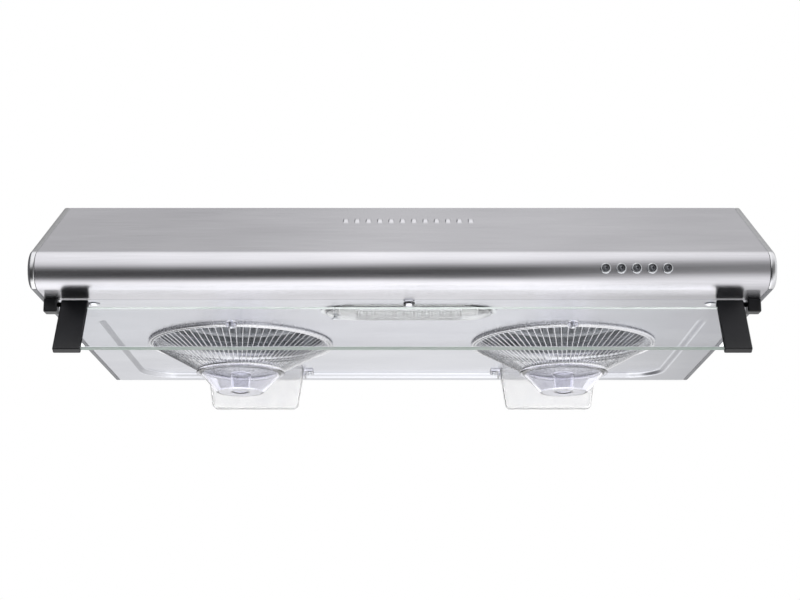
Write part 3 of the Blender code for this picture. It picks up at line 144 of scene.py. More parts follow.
def average(tree, first, second):
    both = add(tree, "Math", {0: first, 1: second}, operation="ADD").outputs[0]
    return add(tree, "Math", {0: both, 1: 0.5}, operation="MULTIPLY").outputs[0]


def vary(tree, shader, tone, shades, wear, roughness, height, depth_mm):
    """Tone picks one of the shades, wear moves the roughness between two values, height makes relief."""
    stops = [(place, linear(colour)) for place, colour in shades]
    shade = add(tree, "ValToRGB", {"Fac": tone}, stops)
    rough = add(tree, "MapRange", {"Value": wear, "To Min": roughness[0], "To Max": roughness[1]})
    bump = add(tree, "Bump", {"Height": height, "Strength": 1.0, "Distance": depth_mm * MM})
    for socket, node in (("Base Color", shade), ("Roughness", rough), ("Normal", bump)):
        tree.links.new(node.outputs[0], shader.inputs[socket])


# %% [markdown]
# ## Brushed stainless steel
# The canopy is 430 stainless sheet, brushed along its length with a grit belt. The grooves are long and
# narrow, so light spreads across them and hardly along them: a lamp turns into a tall soft band, while the
# side of a black arm stays sharp. Fine bumps alone could do this, but they sparkle at this size. So the
# shader's anisotropy carries the spread, its tangent taken from a map that runs across the grooves, and a
# stretched noise adds the streaks. Real grooves of 0.1 mm are drawn at 1 mm, or they wouldn't show at all.

# %% Brushed stainless steel
GRAIN_MAP = "across_grain"
CLOUD_MM = (140, 60, 60)
GROOVE_DEPTH_MM = 0.002


def brushed_steel(name, pale, deep, roughness, spread, streak_mm, length_mm):
    made, tree, shader = finish_of(name, Metallic=1.0, Anisotropic=spread)
    streaks = pattern(tree, (length_mm, streak_mm, streak_mm), Detail=3.0, Roughness=0.6)[0]
    tone = average(tree, streaks, pattern(tree, CLOUD_MM, Detail=1.0)[0])
    uneven = (roughness * 0.88, roughness * 1.12)
    vary(tree, shader, tone, ((0.3, deep), (0.7, pale)), streaks, uneven, streaks, GROOVE_DEPTH_MM)
    across = add(tree, "Tangent", direction_type="UV_MAP", uv_map=GRAIN_MAP)
    tree.links.new(across.outputs[0], shader.inputs["Tangent"])
    return made


CANOPY_STEEL = brushed_steel("brushed_430_stainless", "#dcdbe0", "#cbcacf", 0.25, 0.85, 1.0, 60)
PANEL_STEEL = brushed_steel("bright_annealed_stainless", "#dedfe4", "#cfd0d6", 0.26, 0.80, 1.1, 90)
print("steels:", CANOPY_STEEL.name, PANEL_STEEL.name)

# %% [markdown]
# ## Other metals
# The end caps are zinc castings with a satin silver plating, a little rounder and brighter than the sheet.
# Screws, trim rings and buttons are plated with chromium, bright on the rings and satin on the caps of the
# buttons, whose colour is darkened as painted shade for their dished recess. The wire guards have duller
# nickel. Plating leaves a faint ripple on all of them. Ducts and casings are hot-dip galvanised sheet, whose
# zinc freezes in crystals of 8 to 15 mm called spangle.
# Turned shafts keep fine rings from the lathe. Spangle could be a picture, but a Voronoi pattern has the
# same flat cells with straight borders and costs nothing. The casting's grain and the lathe's rings are
# about 0.1 mm on the real pieces. They are drawn at 0.8 and 0.5 mm, because finer ones wouldn't show.

# %% Satin silver, chromium and nickel
CAST_CLOUD_MM = (6, 6, 6)
CAST_GRAIN_MM = (0.8, 0.8, 0.8)
PLATING_RIPPLE_MM = (4, 4, 4)


def satin_silver():
    made, tree, shader = finish_of("satin_plated_zinc", Metallic=1.0)
    cloud = pattern(tree, CAST_CLOUD_MM, Detail=3.0)[0]
    grain = pattern(tree, CAST_GRAIN_MM, Detail=1.0)[0]
    vary(tree, shader, cloud, ((0.3, "#d2d2d6"), (0.7, "#dededf")), cloud, (0.20, 0.27), grain, 0.006)
    return made


def plated(name, deep, pale, roughness):
    made, tree, shader = finish_of(name, Metallic=1.0)
    ripple = pattern(tree, PLATING_RIPPLE_MM, Detail=2.0)[0]
    uneven = (roughness * 0.7, roughness * 1.5)
    vary(tree, shader, ripple, ((0.2, deep), (0.7, pale)), ripple, uneven, ripple, 0.01)
    return made


CAP_SILVER = satin_silver()
CHROME = plated("chromium_plated_steel", "#d3d5d9", "#e3e5e8", 0.07)
# The button caps' chrome is darkened in colour as painted shade for their dished recess.
CHROME_DARKENED_AS_SHADE = plated("satin_chromium_painted_shade", "#74767b", "#85878c", 0.12)
NICKEL_WIRE = plated("nickel_plated_wire", "#ececef", "#f8f8fa", 0.24)
print("plated:", CAP_SILVER.name, CHROME.name, CHROME_DARKENED_AS_SHADE.name, NICKEL_WIRE.name)

# %% Galvanised sheet and turned steel
SPANGLE_MM = (11, 11, 11)
FEATHER_MM = (1.5, 4, 1.5)
LATHE_MM = (40, 40, 0.5)


def galvanised_sheet():
    made, tree, shader = finish_of("hot_dip_galvanised_sheet", Metallic=1.0)
    cells = pattern(tree, SPANGLE_MM, "TexVoronoi", Randomness=1.0)["Color"]
    grey = add(tree, "SeparateColor", {"Color": cells}).outputs[0]
    feather = pattern(tree, FEATHER_MM, Detail=3.0)[0]
    shades = ((0.2, "#c6cbcf"), (0.5, "#d8dcdf"), (0.8, "#e8eaec"))
    vary(tree, shader, average(tree, grey, feather), shades, grey, (0.30, 0.48), feather, 0.01)
    return made


def turned_steel():
    made, tree, shader = finish_of("turned_carbon_steel", Metallic=1.0)
    rings = pattern(tree, LATHE_MM, Detail=2.0)[0]
    vary(tree, shader, rings, ((0.3, "#a4a6ab"), (0.7, "#c6c8cc")), rings, (0.24, 0.36), rings, 0.01)
    return made


GALVANISED = galvanised_sheet()
TURNED_STEEL = turned_steel()
print("plain metals:", GALVANISED.name, TURNED_STEEL.name)

# %% [markdown]
# ## Plastics
# The arms and blocks are black ABS, moulded in a tool with a fine spark texture of about 0.3 mm, so they look
# soft and a little silky. The fan wheels are grey polypropylene, with a coarser texture that still shows
# through the guards. The lamp holder and nuts are white nylon, and a dark grey painted along each end cap's
# underside stands for the shade there.
# The bowls, clips and the bumper are clear polystyrene, the lens is acrylic, and the oil cups are natural
# polypropylene, which looks like thin milk. Each could have its own recipe, but clear and milky plastic
# differ only in how much light goes straight through and how rough they are, so one function serves both. The
# enamel of the lamp housing is glassy and smooth, so it is made like a moulding with soft ripples.

# %% Moulded plastics, clear plastics and enamel
FLOW_MM = (30, 30, 30)


def moulded(name, dark, light, roughness, texture_mm=0.35, depth_mm=0.012):
    made, tree, shader = finish_of(name, IOR=1.53)
    spark = pattern(tree, (texture_mm,) * 3, Detail=2.0)[0]
    flow = pattern(tree, FLOW_MM, Detail=2.0)[0]
    uneven = (roughness * 0.8, roughness * 1.2)
    vary(tree, shader, flow, ((0.3, dark), (0.7, light)), spark, uneven, spark, depth_mm)
    return made


def see_through(name, tint, deep_tint, roughness, passes, ior, ripple_mm=12, depth_mm=0.03):
    made, tree, shader = finish_of(name, IOR=ior, Transmission_Weight=passes)
    ripple = pattern(tree, (ripple_mm,) * 3, Detail=1.5)[0]
    uneven = (roughness * 0.7, roughness * 1.3)
    vary(tree, shader, ripple, ((0.3, deep_tint), (0.7, tint)), ripple, uneven, ripple, depth_mm)
    return made


BLACK_ABS = moulded("black_moulded_abs", "#15161a", "#1e1f24", 0.36)
DARK_GREY_ABS = moulded("moulded_abs_dark_grey", "#232528", "#2d2f33", 0.45)
FAN_GREY = moulded("grey_moulded_polypropylene", "#d9dde1", "#e6e9ec", 0.40, 0.8)
# Painted shade: a dark grey for the underside of each end cap, where shade falls.
UNDERSIDE_SHADE_GREY = moulded("painted_underside_shade", "#85868c", "#939499", 0.45)
WHITE_NYLON = moulded("white_moulded_nylon", "#dcdcd6", "#e9e8e3", 0.38)
WHITE_ENAMEL = moulded("white_stove_enamel", "#f2f2f0", "#fbfbfa", 0.22, 1.5, 0.006)
CLEAR_STYRENE = see_through("clear_moulded_polystyrene", "#f1f1f6", "#eaeaf1", 0.04, 1.0, 1.59)
MILKY_PP = see_through("natural_moulded_polypropylene", "#fefefe", "#fafafb", 0.14, 0.84, 1.49)
LENS_CLEAR = see_through("clear_ribbed_acrylic", "#fbfcfc", "#f3f5f6", 0.06, 1.0, 1.49)
print("plastics:", BLACK_ABS.name, FAN_GREY.name, CLEAR_STYRENE.name, MILKY_PP.name)

# %% [markdown]
# ## Glass
# The visor is 5 mm tempered float glass. Looked at square on it is almost colourless, but along its edges the
# light crosses centimetres of it and the iron in the melt turns it green. A volume would give that by
# itself, yet it renders slowly and the export can't keep it. So the pane has clear faces, and its ground and
# polished edges are a second material with the green in it. The tube of the lamp is opal glass.

# %% Float glass, its edge, and the lamp tube
PANE_GLASS = see_through("tempered_float_glass", "#fefeff", "#fcfdfe", 0.012, 1.0, 1.52, 90, 0.004)
EDGE_GLASS = see_through("polished_glass_edge", "#f4fffa", "#e4f8ee", 0.15, 0.35, 1.52, 20, 0.004)
TUBE_GLASS = see_through("opal_lamp_glass", "#ffffff", "#f4f4f0", 0.20, 0.25, 1.50)
print("glass:", PANE_GLASS.name, EDGE_GLASS.name, TUBE_GLASS.name)

# %% [markdown]
# ## From a shape to a piece
# A piece is drawn in mesh code, shaded smooth with its real corners kept sharp, and handed to the frame: it
# rides on a body and takes the place of a node of the frame, which is hidden. Doing this in one function
# means no piece can forget a step. Modifiers could stay live, but settled meshes make the holes' cutters
# disposable.

# %% Settling a mesh; two faces shade as one surface up to an angle of this many degrees
CREASE = 40
SHEET_CREASE = 32
SOFT_CREASE = 50


def settle(obj, crease):
    """Keeps the result of the object's modifiers as its mesh, with flat faces that shade flat."""
    depsgraph = bpy.context.evaluated_depsgraph_get()
    mesh = bpy.data.meshes.new_from_object(obj.evaluated_get(depsgraph))
    obj.modifiers.clear()
    obj.data = mesh
    mesh.shade_smooth()
    mesh.set_sharp_from_angle(angle=math.radians(crease))
    weighted = obj.modifiers.new("weighted", "WEIGHTED_NORMAL")
    weighted.keep_sharp = True
    weighted.weight = 50
    depsgraph = bpy.context.evaluated_depsgraph_get()
    obj.data = bpy.data.meshes.new_from_object(obj.evaluated_get(depsgraph))
    obj.modifiers.clear()


# %% Handing a piece to the frame


def placed(name, shape):
    """A bmesh as an object in the scene."""
    mesh = bpy.data.meshes.new(name)
    shape.to_mesh(mesh)
    shape.free()
    obj = bpy.data.objects.new(name, mesh)
    bpy.context.scene.collection.objects.link(obj)
    return obj


def piece(name, shape, finishes, body, node, slot_name, crease=CREASE):
    """Makes the object from a bmesh, gives it its finishes and ties it to the frame."""
    obj = placed(name, shape)
    for finish in finishes if isinstance(finishes, tuple) else (finishes,):
        obj.data.materials.append(finish)
    settle(obj, crease)
    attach(obj, body)
    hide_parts(node)
    size = obj.dimensions / MM
    print(f"{name}: {len(obj.data.polygons)} faces, {size.x:.0f} x {size.y:.0f} x {size.z:.0f} mm")
    return obj


# %% Sheet thickness, holes and joined shapes


def thicken(obj, thickness):
    """Turns an open surface into sheet of even thickness."""
    sheet = obj.modifiers.new("sheet", "SOLIDIFY")
    sheet.thickness = thickness
    sheet.offset = -1.0
    sheet.use_even_offset = True
    settle(obj, SHEET_CREASE)


def combine(obj, operation, shapes, crease=CREASE):
    """Cuts throwaway shapes out of a piece, or joins them to it."""
    helpers = [placed("helper", shape) for shape in shapes]
    for helper in helpers:
        step = obj.modifiers.new("step", "BOOLEAN")
        step.operation = operation
        step.solver = "EXACT"
        step.object = helper
    settle(obj, crease)
    for helper in helpers:
        bpy.data.objects.remove(helper)


# %% [markdown]
# ## Canopy
# The canopy is one sheet folded by a press brake: a flat top, a slope, a rolled nose and an under-return
# that ends in an upturned lip. It could be bevelled from a box, but a line swept from end to end gives the
# true bends and lets the grain run along it. The map for the grain stores the distance along that line.

# %% The folded line
NOSE_RADIUS = 20.5 * MM
TOP_FILLET = 4 * MM
TOP_DEPTH = 360 * MM
LIP_FLANGE = 10 * MM
LIP_BEND = 1.4 * MM
LIP_Y = panel_low.y - GAP
nose_centre = Vector((FRONT_Y + NOSE_RADIUS, UNDERSIDE_Z + NOSE_RADIUS))
top_front = Vector((BACK_Y - TOP_DEPTH, 0.0))
to_top = top_front - nose_centre
nose_touch = math.atan2(to_top.y, to_top.x) + math.acos(NOSE_RADIUS / to_top.length)
SLOPE = nose_touch - math.pi / 2
print(f"slope of {math.degrees(SLOPE):.1f} degrees")


def arc(centre, radius, start, end, steps):
    """Points on an arc, both ends included, angles in radians."""
    turn = (end - start) / steps
    angles = [start + turn * i for i in range(steps + 1)]
    return [(centre[0] + radius * math.cos(a), centre[1] + radius * math.sin(a)) for a in angles]


def folded_line(nose_steps=48):
    """The outer line of the sheet, from the top's back edge to the nose's lowest point."""
    setback = TOP_FILLET * math.tan(SLOPE / 2)
    fold = arc((top_front.x + setback, -TOP_FILLET), TOP_FILLET, math.pi / 2, math.pi / 2 + SLOPE, 6)
    return [(BACK_Y, 0.0)] + fold + arc(nose_centre, NOSE_RADIUS, nose_touch, 1.5 * math.pi, nose_steps)


# %% Faces between rows of points, their direction and the map for the grain


def skin(bm, rows, closed=True):
    """Faces between rows of vertices that have the same count."""
    for lower, upper in zip(rows, rows[1:]):
        count = len(lower)
        for i in range(count if closed else count - 1):
            j = (i + 1) % count
            bm.faces.new((lower[i], lower[j], upper[j], upper[i]))


def face_towards(bm, direction):
    """Makes all faces agree, and the one that is farthest along the direction look that way."""
    bmesh.ops.recalc_face_normals(bm, faces=bm.faces)
    farthest = max(bm.faces, key=lambda face: face.calc_center_median().dot(direction))
    if farthest.normal.dot(direction) < 0:
        bmesh.ops.reverse_faces(bm, faces=bm.faces)


def lay_grain(bm, run):
    """Writes the grain's map: how far a vertex lies across the grooves, and its place along them."""
    across = bm.loops.layers.uv.new(GRAIN_MAP)
    for face in bm.faces:
        for loop in face.loops:
            loop[across].uv = (run(loop.vert), loop.vert.co.x)


# %% The swept sheet
UP, DOWN, BACKWARDS = Vector((0, 0, 1)), Vector((0, 0, -1)), Vector((0, 1, 0))


def swept_canopy():
    line = folded_line() + arc((LIP_Y - LIP_BEND, UNDERSIDE_Z + LIP_BEND), LIP_BEND, -math.pi / 2, 0, 6)
    line.append((LIP_Y, UNDERSIDE_Z + LIP_FLANGE))
    bm = bmesh.new()
    rows = [[bm.verts.new((x, y, z)) for x in (shell_low.x, shell_high.x)] for y, z in line]
    skin(bm, rows, closed=False)
    girth = [0.0]
    for (y0, z0), (y1, z1) in zip(line, line[1:]):
        girth.append(girth[-1] + math.hypot(y1 - y0, z1 - z0))
    distance = {vert: run for row, run in zip(rows, girth) for vert in row}
    lay_grain(bm, lambda vert: distance[vert])
    face_towards(bm, UP)
    return bm


# %% [markdown]
# ## Louvres, holes for buttons and the holes in the top
# Twelve small louvres let air into the space behind the slope. A punch lances the sheet and pushes up a
# tongue, open towards the top. Cutting only slots would leave out the tongue's bright lip, so each louvre
# is a slot with a raised scoop over it. The top has a round hole for the duct collar, one for the cable
# gland and four keyholes for the screws in the cabinet, and the nose has one for each button.

# %% Louvre sizes and places
LOUVRE_COUNT = 12
LOUVRE_PITCH = 12.2 * MM
LOUVRE_WIDTH = 6.4 * MM
LOUVRE_LENGTH = 13 * MM
LOUVRE_RISE = 1.9 * MM
LOUVRE_TOP = 53 * MM
LOUVRE_CENTRE_X = 6.6 * MM
along_slope = Vector((0, -math.cos(SLOPE), -math.sin(SLOPE)))
off_slope = Vector((0, -math.sin(SLOPE), math.cos(SLOPE)))
slope_start = Vector((0, top_front.x, top_front.y))
louvre_x = [LOUVRE_CENTRE_X + (i - (LOUVRE_COUNT - 1) / 2) * LOUVRE_PITCH for i in range(LOUVRE_COUNT)]
print(f"{LOUVRE_COUNT} louvres from x {louvre_x[0]:.3f} to {louvre_x[-1]:.3f}")

# %% Louvre scoops
SCOOP_STEPS = 10
ARCH_SQUARENESS, ARCH_ROUNDNESS = 5, 0.6
LIP_DROP, LIP_SHIFT = SHEET * 0.6, SHEET * 0.2


def smooth_step(share):
    """Goes from 0 to 1 and is level at both ends."""
    return share * share * (3 - 2 * share)


def louvre_scoop(x):
    """A tongue that rises from the slope towards its open upper end, with a folded lip there."""
    bm = bmesh.new()
    rows = []
    for i in range(SCOOP_STEPS + 1):
        run = i / SCOOP_STEPS
        rise = LOUVRE_RISE * (1 - smooth_step(run))
        row = []
        for k in range(SCOOP_STEPS + 1):
            side = 2 * k / SCOOP_STEPS - 1
            arch = (1 - abs(side) ** ARCH_SQUARENESS) ** ARCH_ROUNDNESS
            point = slope_start + along_slope * (LOUVRE_TOP + run * LOUVRE_LENGTH) + off_slope * rise * arch
            row.append(bm.verts.new(point + Vector((x + side * LOUVRE_WIDTH / 2, 0, 0))))
        rows.append(row)
    skin(bm, rows, closed=False)
    face_towards(bm, off_slope)
    edge = [e for e in bm.edges if e.is_boundary and all(v in rows[0] for v in e.verts)]
    folded = bmesh.ops.extrude_edge_only(bm, edges=edge)["geom"]
    lip = [item for item in folded if isinstance(item, bmesh.types.BMVert)]
    bmesh.ops.translate(bm, verts=lip, vec=along_slope * LIP_SHIFT - off_slope * LIP_DROP)
    return bm


# %% Blocks and drums


def moved(bm, place, turn=None):
    """Turns a shape about the origin, then moves it."""
    if turn is not None:
        bmesh.ops.transform(bm, matrix=turn, verts=bm.verts)
    bmesh.ops.translate(bm, verts=bm.verts, vec=place)
    return bm


def block(low, high, rounding, steps=3):
    """A box between two corners with rounded edges."""
    low, high = Vector(low), Vector(high)
    bm = bmesh.new()
    bmesh.ops.create_cube(bm, size=1.0)
    bmesh.ops.scale(bm, vec=high - low, verts=bm.verts)
    bmesh.ops.translate(bm, vec=(low + high) / 2, verts=bm.verts)
    if rounding:
        bmesh.ops.bevel(bm, geom=bm.edges[:], offset=rounding, segments=steps, profile=0.5, affect="EDGES")
    return bm


def drum(centre, radius, depth, axis="Z", sides=64):
    """A cylinder along an axis, for cutting round holes and for pins."""
    bm = bmesh.new()
    bmesh.ops.create_cone(bm, cap_ends=True, segments=sides, radius1=radius, radius2=radius, depth=depth)
    turns = {"Z": None, "Y": Matrix.Rotation(math.pi / 2, 4, "X"), "X": Matrix.Rotation(math.pi / 2, 4, "Y")}
    return moved(bm, centre, turns[axis])


# %% Cutters for the slots and the keyholes
SLOT_LENGTH = 2.5 * MM
SLOT_MARGIN = 0.4 * MM
SLOT_DEPTH = 8 * MM
CUT_DEPTH = 20 * MM
KEYHOLE_X, KEYHOLE_Y = 310 * MM, 125 * MM
KEYHOLE_RADIUS = 5 * MM
KEYHOLE_SLOT = (4.5 * MM, 12 * MM)


def slot_cutter(x):
    half = Vector((LOUVRE_WIDTH / 2 - SLOT_MARGIN, SLOT_LENGTH / 2, SLOT_DEPTH / 2))
    place = slope_start + along_slope * (LOUVRE_TOP + SLOT_LENGTH / 2) + Vector((x, 0, 0))
    return moved(block(-half, half, 0), place, Matrix.Rotation(SLOPE, 4, "X"))


def keyhole_cutters():
    half, slot = KEYHOLE_SLOT[0] / 2, KEYHOLE_SLOT[1]
    for x in (-KEYHOLE_X, KEYHOLE_X):
        for y in (-KEYHOLE_Y, KEYHOLE_Y):
            yield drum((x, y, 0), KEYHOLE_RADIUS, CUT_DEPTH)
            yield block((x - half, y, -CUT_DEPTH / 2), (x + half, y + slot, CUT_DEPTH / 2), 0)


# %% The canopy sheet with its holes and louvres
COLLAR_HOLE = 60.5 * MM
GLAND_HOLE = 9.3 * MM
BUTTON_HOLE = 4.9 * MM
BUTTONS = range(1, 6)
SCOOP_GRAIN = 1.2


def gather(*shapes):
    """Several shapes as one."""
    whole = bmesh.new()
    for shape in shapes:
        mesh = bpy.data.meshes.new("part")
        shape.to_mesh(mesh)
        shape.free()
        whole.from_mesh(mesh)
        bpy.data.meshes.remove(mesh)
    return whole


def canopy():
    steel = (CANOPY_STEEL, "hood", "canopy_shell", "brushed_stainless")
    sheet = piece("canopy_sheet", swept_canopy(), *steel, SHEET_CREASE)
    thicken(sheet, SHEET)
    collar = span("exhaust_collar")[2]
    gland = span("cable_gland")[2]
    holes = [slot_cutter(x) for x in louvre_x]
    holes.append(drum((0, collar.y, 0), COLLAR_HOLE, CUT_DEPTH, sides=128))
    holes.append(drum((gland.x, gland.y, 0), GLAND_HOLE, CUT_DEPTH))
    for number in BUTTONS:
        middle = span(f"button_bezel_{number}")[2]
        holes.append(drum((middle.x, FRONT_Y, middle.z), BUTTON_HOLE, CUT_DEPTH, "Y", 32))
    combine(sheet, "DIFFERENCE", holes + list(keyhole_cutters()), SHEET_CREASE)
    scoops = gather(*[louvre_scoop(x) for x in louvre_x])
    lay_grain(scoops, lambda vert: vert.co.y * SCOOP_GRAIN)
    piece("louvre_tongues", scoops, *steel, SOFT_CREASE)


canopy()

# %% [markdown]
# ## End caps
# Each end is closed by a 7 mm casting with the canopy's outline. Its outer edge is generously rounded, and
# a fine chamfer on its inner edge leaves the dark line between cap and sheet. Along its underside a dark
# grey is painted as shade. It could be one bevelled extrusion, and it is: the outline is filled, pushed
# through, and its two rims are bevelled by different amounts. The painted shade covers the lowest half
# millimetre, in a second finish.

# %% Prisms and their rims


def prism(*ends):
    """A solid between two outlines that have the same count of points."""
    bm = bmesh.new()
    rims = [[bm.verts.new(point) for point in end] for end in ends]
    skin(bm, rims)
    for rim in rims:
        bm.faces.new(rim)
    bmesh.ops.recalc_face_normals(bm, faces=bm.faces)
    return bm


def bevel_rims(bm, axis, levels, amount, steps):
    """Rounds the edges that lie at one of the levels along an axis, 0 for x, 1 for y and 2 for z."""
    rims = []
    for edge in bm.edges:
        if any(all(abs(vert.co[axis] - level) < TINY for vert in edge.verts) for level in levels):
            rims.append(edge)
    bmesh.ops.bevel(
        bm, geom=rims, offset=amount, segments=steps, profile=0.5, affect="EDGES", clamp_overlap=True
    )


# %% End caps
CAP_ROUNDING = 3.2 * MM
CAP_SEAM = 1.2 * MM
# How high the painted shade reaches up the end cap's underside.
CAP_SHADE_BAND = 0.5 * MM


def end_cap(side):
    low, high, _ = span(f"end_cap_{side}")
    inner_x, outer_x = (low.x, high.x) if SIDES[side] > 0 else (high.x, low.x)
    outline = [(BACK_Y, UNDERSIDE_Z)] + folded_line(40)
    bm = prism(*[[(x, y, z) for y, z in outline] for x in (inner_x, outer_x)])
    bevel_rims(bm, 0, (outer_x,), CAP_ROUNDING, 6)
    bevel_rims(bm, 0, (inner_x,), CAP_SEAM, 2)
    for face in bm.faces:
        # Faces in the lowest half millimetre take the second finish, a dark grey painted as shade.
        face.material_index = int(face.calc_center_median().z < UNDERSIDE_Z + CAP_SHADE_BAND)
    piece(f"end_casting_{side}", bm, (CAP_SILVER, UNDERSIDE_SHADE_GREY), "hood", f"end_cap_{side}", "silver_cap")


for side in SIDES:
    end_cap(side)

# %% [markdown]
# ## Bottom panel
# The panel is one deep-drawn sheet. A shallow recess with soft walls keeps it stiff, two bell mouths lead the
# air into the blowers, and an oval window takes the lamp. Holes cut in a plate would have hard edges. So the
# flat parts are filled between loops, and the curved parts are rows of loops that follow a formula, which
# keeps the reflections clean where metal is drawn.

# %% Level loops


def rounded_rectangle(low, high, radii, steps=12):
    """A rounded rectangle anticlockwise from its lower right; radii are of the front and rear corners."""
    front, rear = radii
    corners = (
        (high[0] - front, low[1] + front, front, -math.pi / 2),
        (high[0] - rear, high[1] - rear, rear, 0.0),
        (low[0] + rear, high[1] - rear, rear, math.pi / 2),
        (low[0] + front, low[1] + front, front, math.pi),
    )
    points = []
    for x, y, radius, start in corners:
        points += arc((x, y), radius, start, start + math.pi / 2, steps)
    return points


def level_loop(bm, points, height):
    """Vertices of a loop at one height."""
    return [bm.verts.new((x, y, height)) for x, y in points]


def ring_edges(bm, loop):
    """The edges round a loop of vertices, made where they don't exist."""
    edges = []
    for i, vert in enumerate(loop):
        pair = (loop[i - 1], vert)
        edges.append(bm.edges.get(pair) or bm.edges.new(pair))
    return edges


# %% The lamp's window
WINDOW_INSET = 4 * MM
WINDOW_STRAIGHT = 0.5 * MM
lens_low, lens_high, lens_middle = span("lamp_lens")
lens_length, lens_width = lens_high.x - lens_low.x, lens_high.y - lens_low.y


def lamp_window():
    """The lamp's oval, drawn in so that the rim of the lens covers its edge."""
    half_x, half_y = lens_length / 2 - WINDOW_INSET, lens_width / 2 - WINDOW_INSET
    radius = half_y - WINDOW_STRAIGHT
    points = rounded_rectangle((-half_x, -half_y), (half_x, half_y), (radius, radius), 16)
    return [(x + lens_middle.x, y + lens_middle.y) for x, y in points]


# %% Walls of the recess
RECESS_HEIGHT = 5 * MM
RECESS_SIDE = 40 * MM
RECESS_BACK = 15.5 * MM
RECESS_FRONT_Y = -170 * MM
RECESS_SLOPE = 7 * MM
RECESS_CORNERS = (13 * MM, 45 * MM)
RECESS_STEPS = 8


def recess_walls(bm):
    low = (RECESS_SIDE - HALF_WIDTH, RECESS_FRONT_Y)
    high = (HALF_WIDTH - RECESS_SIDE, BACK_Y - RECESS_BACK)
    walls = []
    for i in range(RECESS_STEPS + 1):
        run = i / RECESS_STEPS
        inset = RECESS_SLOPE * run
        lows = (low[0] + inset, low[1] + inset)
        highs = (high[0] - inset, high[1] - inset)
        radii = [radius - inset for radius in RECESS_CORNERS]
        height = UNDERSIDE_Z + RECESS_HEIGHT * smooth_step(run)
        walls.append(level_loop(bm, rounded_rectangle(lows, highs, radii), height))
    skin(bm, walls)
    return walls


# %% Bell mouths
BELL_HEIGHT = 19.5 * MM
BELL_MOUTH = 101.5 * MM
BELL_THROAT = 93.5 * MM
BELL_STEPS = 12
fans = {side: span(f"guard_{side}")[2] for side in SIDES}
wheel_low, wheel_high, _ = span("fan_wheel_left")
FAN_Y = (wheel_low.y + wheel_high.y) / 2
print(f"fans at x {fans['left'].x:.3f} and {fans['right'].x:.3f}, y {FAN_Y:.3f}")


def bell_mouth(bm, side):
    """A quarter round from the plateau of the recess up to the throat."""
    drop = BELL_MOUTH - BELL_THROAT
    angles = [math.pi / 2 * i / BELL_STEPS for i in range(BELL_STEPS + 1)]
    curve = [(BELL_MOUTH - drop * math.sin(a), drop * (1 - math.cos(a))) for a in angles]
    rows = []
    for radius, rise in curve + [(BELL_THROAT, BELL_HEIGHT)]:
        points = arc((fans[side].x, FAN_Y), radius, 0, math.tau, 120)[:-1]
        rows.append(level_loop(bm, points, UNDERSIDE_Z + RECESS_HEIGHT + rise))
    skin(bm, rows)
    return rows[0]


# %% Bottom panel


def bottom_panel():
    bm = bmesh.new()
    walls = recess_walls(bm)
    mouths = [bell_mouth(bm, side) for side in SIDES]
    corners = [(panel_low.x, panel_low.y), (panel_high.x, panel_low.y)]
    corners += [(panel_high.x, panel_high.y), (panel_low.x, panel_high.y)]
    border = level_loop(bm, corners, UNDERSIDE_Z)
    window = level_loop(bm, lamp_window(), UNDERSIDE_Z)
    for outer, *inner in ((border, window, walls[0]), (walls[-1], *mouths)):
        edges = ring_edges(bm, outer)
        for loop in inner:
            edges += ring_edges(bm, loop)
        bmesh.ops.triangle_fill(bm, edges=edges, use_beauty=True)
    lay_grain(bm, lambda vert: vert.co.y)
    face_towards(bm, DOWN)
    panel = piece("drawn_bottom_panel", bm, PANEL_STEEL, "hood", "bottom_panel", "polished_stainless")
    thicken(panel, SHEET)


bottom_panel()

# %% [markdown]
# ## Back panel
# The back is a plain galvanised closing sheet, spot welded to the canopy, with two pressed beads that stop it
# drumming. A flat box would do from the front, but the beads catch light from behind, so the sheet is a grid
# whose depth follows the beads and which then gets its thickness.

# %% Back panel with two beads
BEAD_HALF = 9 * MM
BEAD_DEPTH = 0.8 * MM
BEAD_OFFSET = 28 * MM
BEAD_END = 40 * MM
BEAD_STEPS = 8


def back_panel():
    low, high, middle = span("back_panel")
    bead_z = [middle.z - BEAD_OFFSET, middle.z + BEAD_OFFSET]
    ends = [low.x + BEAD_END, high.x - BEAD_END]
    steps = [BEAD_HALF * i / BEAD_STEPS for i in range(-BEAD_STEPS, BEAD_STEPS + 1)]
    heights = {low.z, high.z, *[z + step for z in bead_z for step in steps]}
    rising = steps[BEAD_STEPS:]
    places = {low.x, high.x, *[ends[0] + step for step in rising], *[ends[1] - step for step in rising]}

    def depth(x, z):
        along = min(1.0, max(0.0, min(x - ends[0], ends[1] - x) / BEAD_HALF))
        across = max(0.0, 1 - min(abs(z - centre) for centre in bead_z) / BEAD_HALF)
        return BEAD_DEPTH * smooth_step(min(along, across))

    bm = bmesh.new()
    rows = [[bm.verts.new((x, high.y - depth(x, z), z)) for x in sorted(places)] for z in sorted(heights)]
    skin(bm, rows, closed=False)
    face_towards(bm, BACKWARDS)
    back = ("hood", "back_panel", "galvanised_sheet", SHEET_CREASE)
    thicken(piece("closing_back_sheet", bm, GALVANISED, *back), SHEET)


back_panel()

# %% [markdown]
# ## Guards
# A guard is welded from drawn wire and plated: eighty straight spokes run from a double outer rim down to the
# ring that carries the bowl. A texture of lines would look flat from the side, and the light between the
# wires is what one sees, so every wire is a real cylinder.

# %% Turned shapes


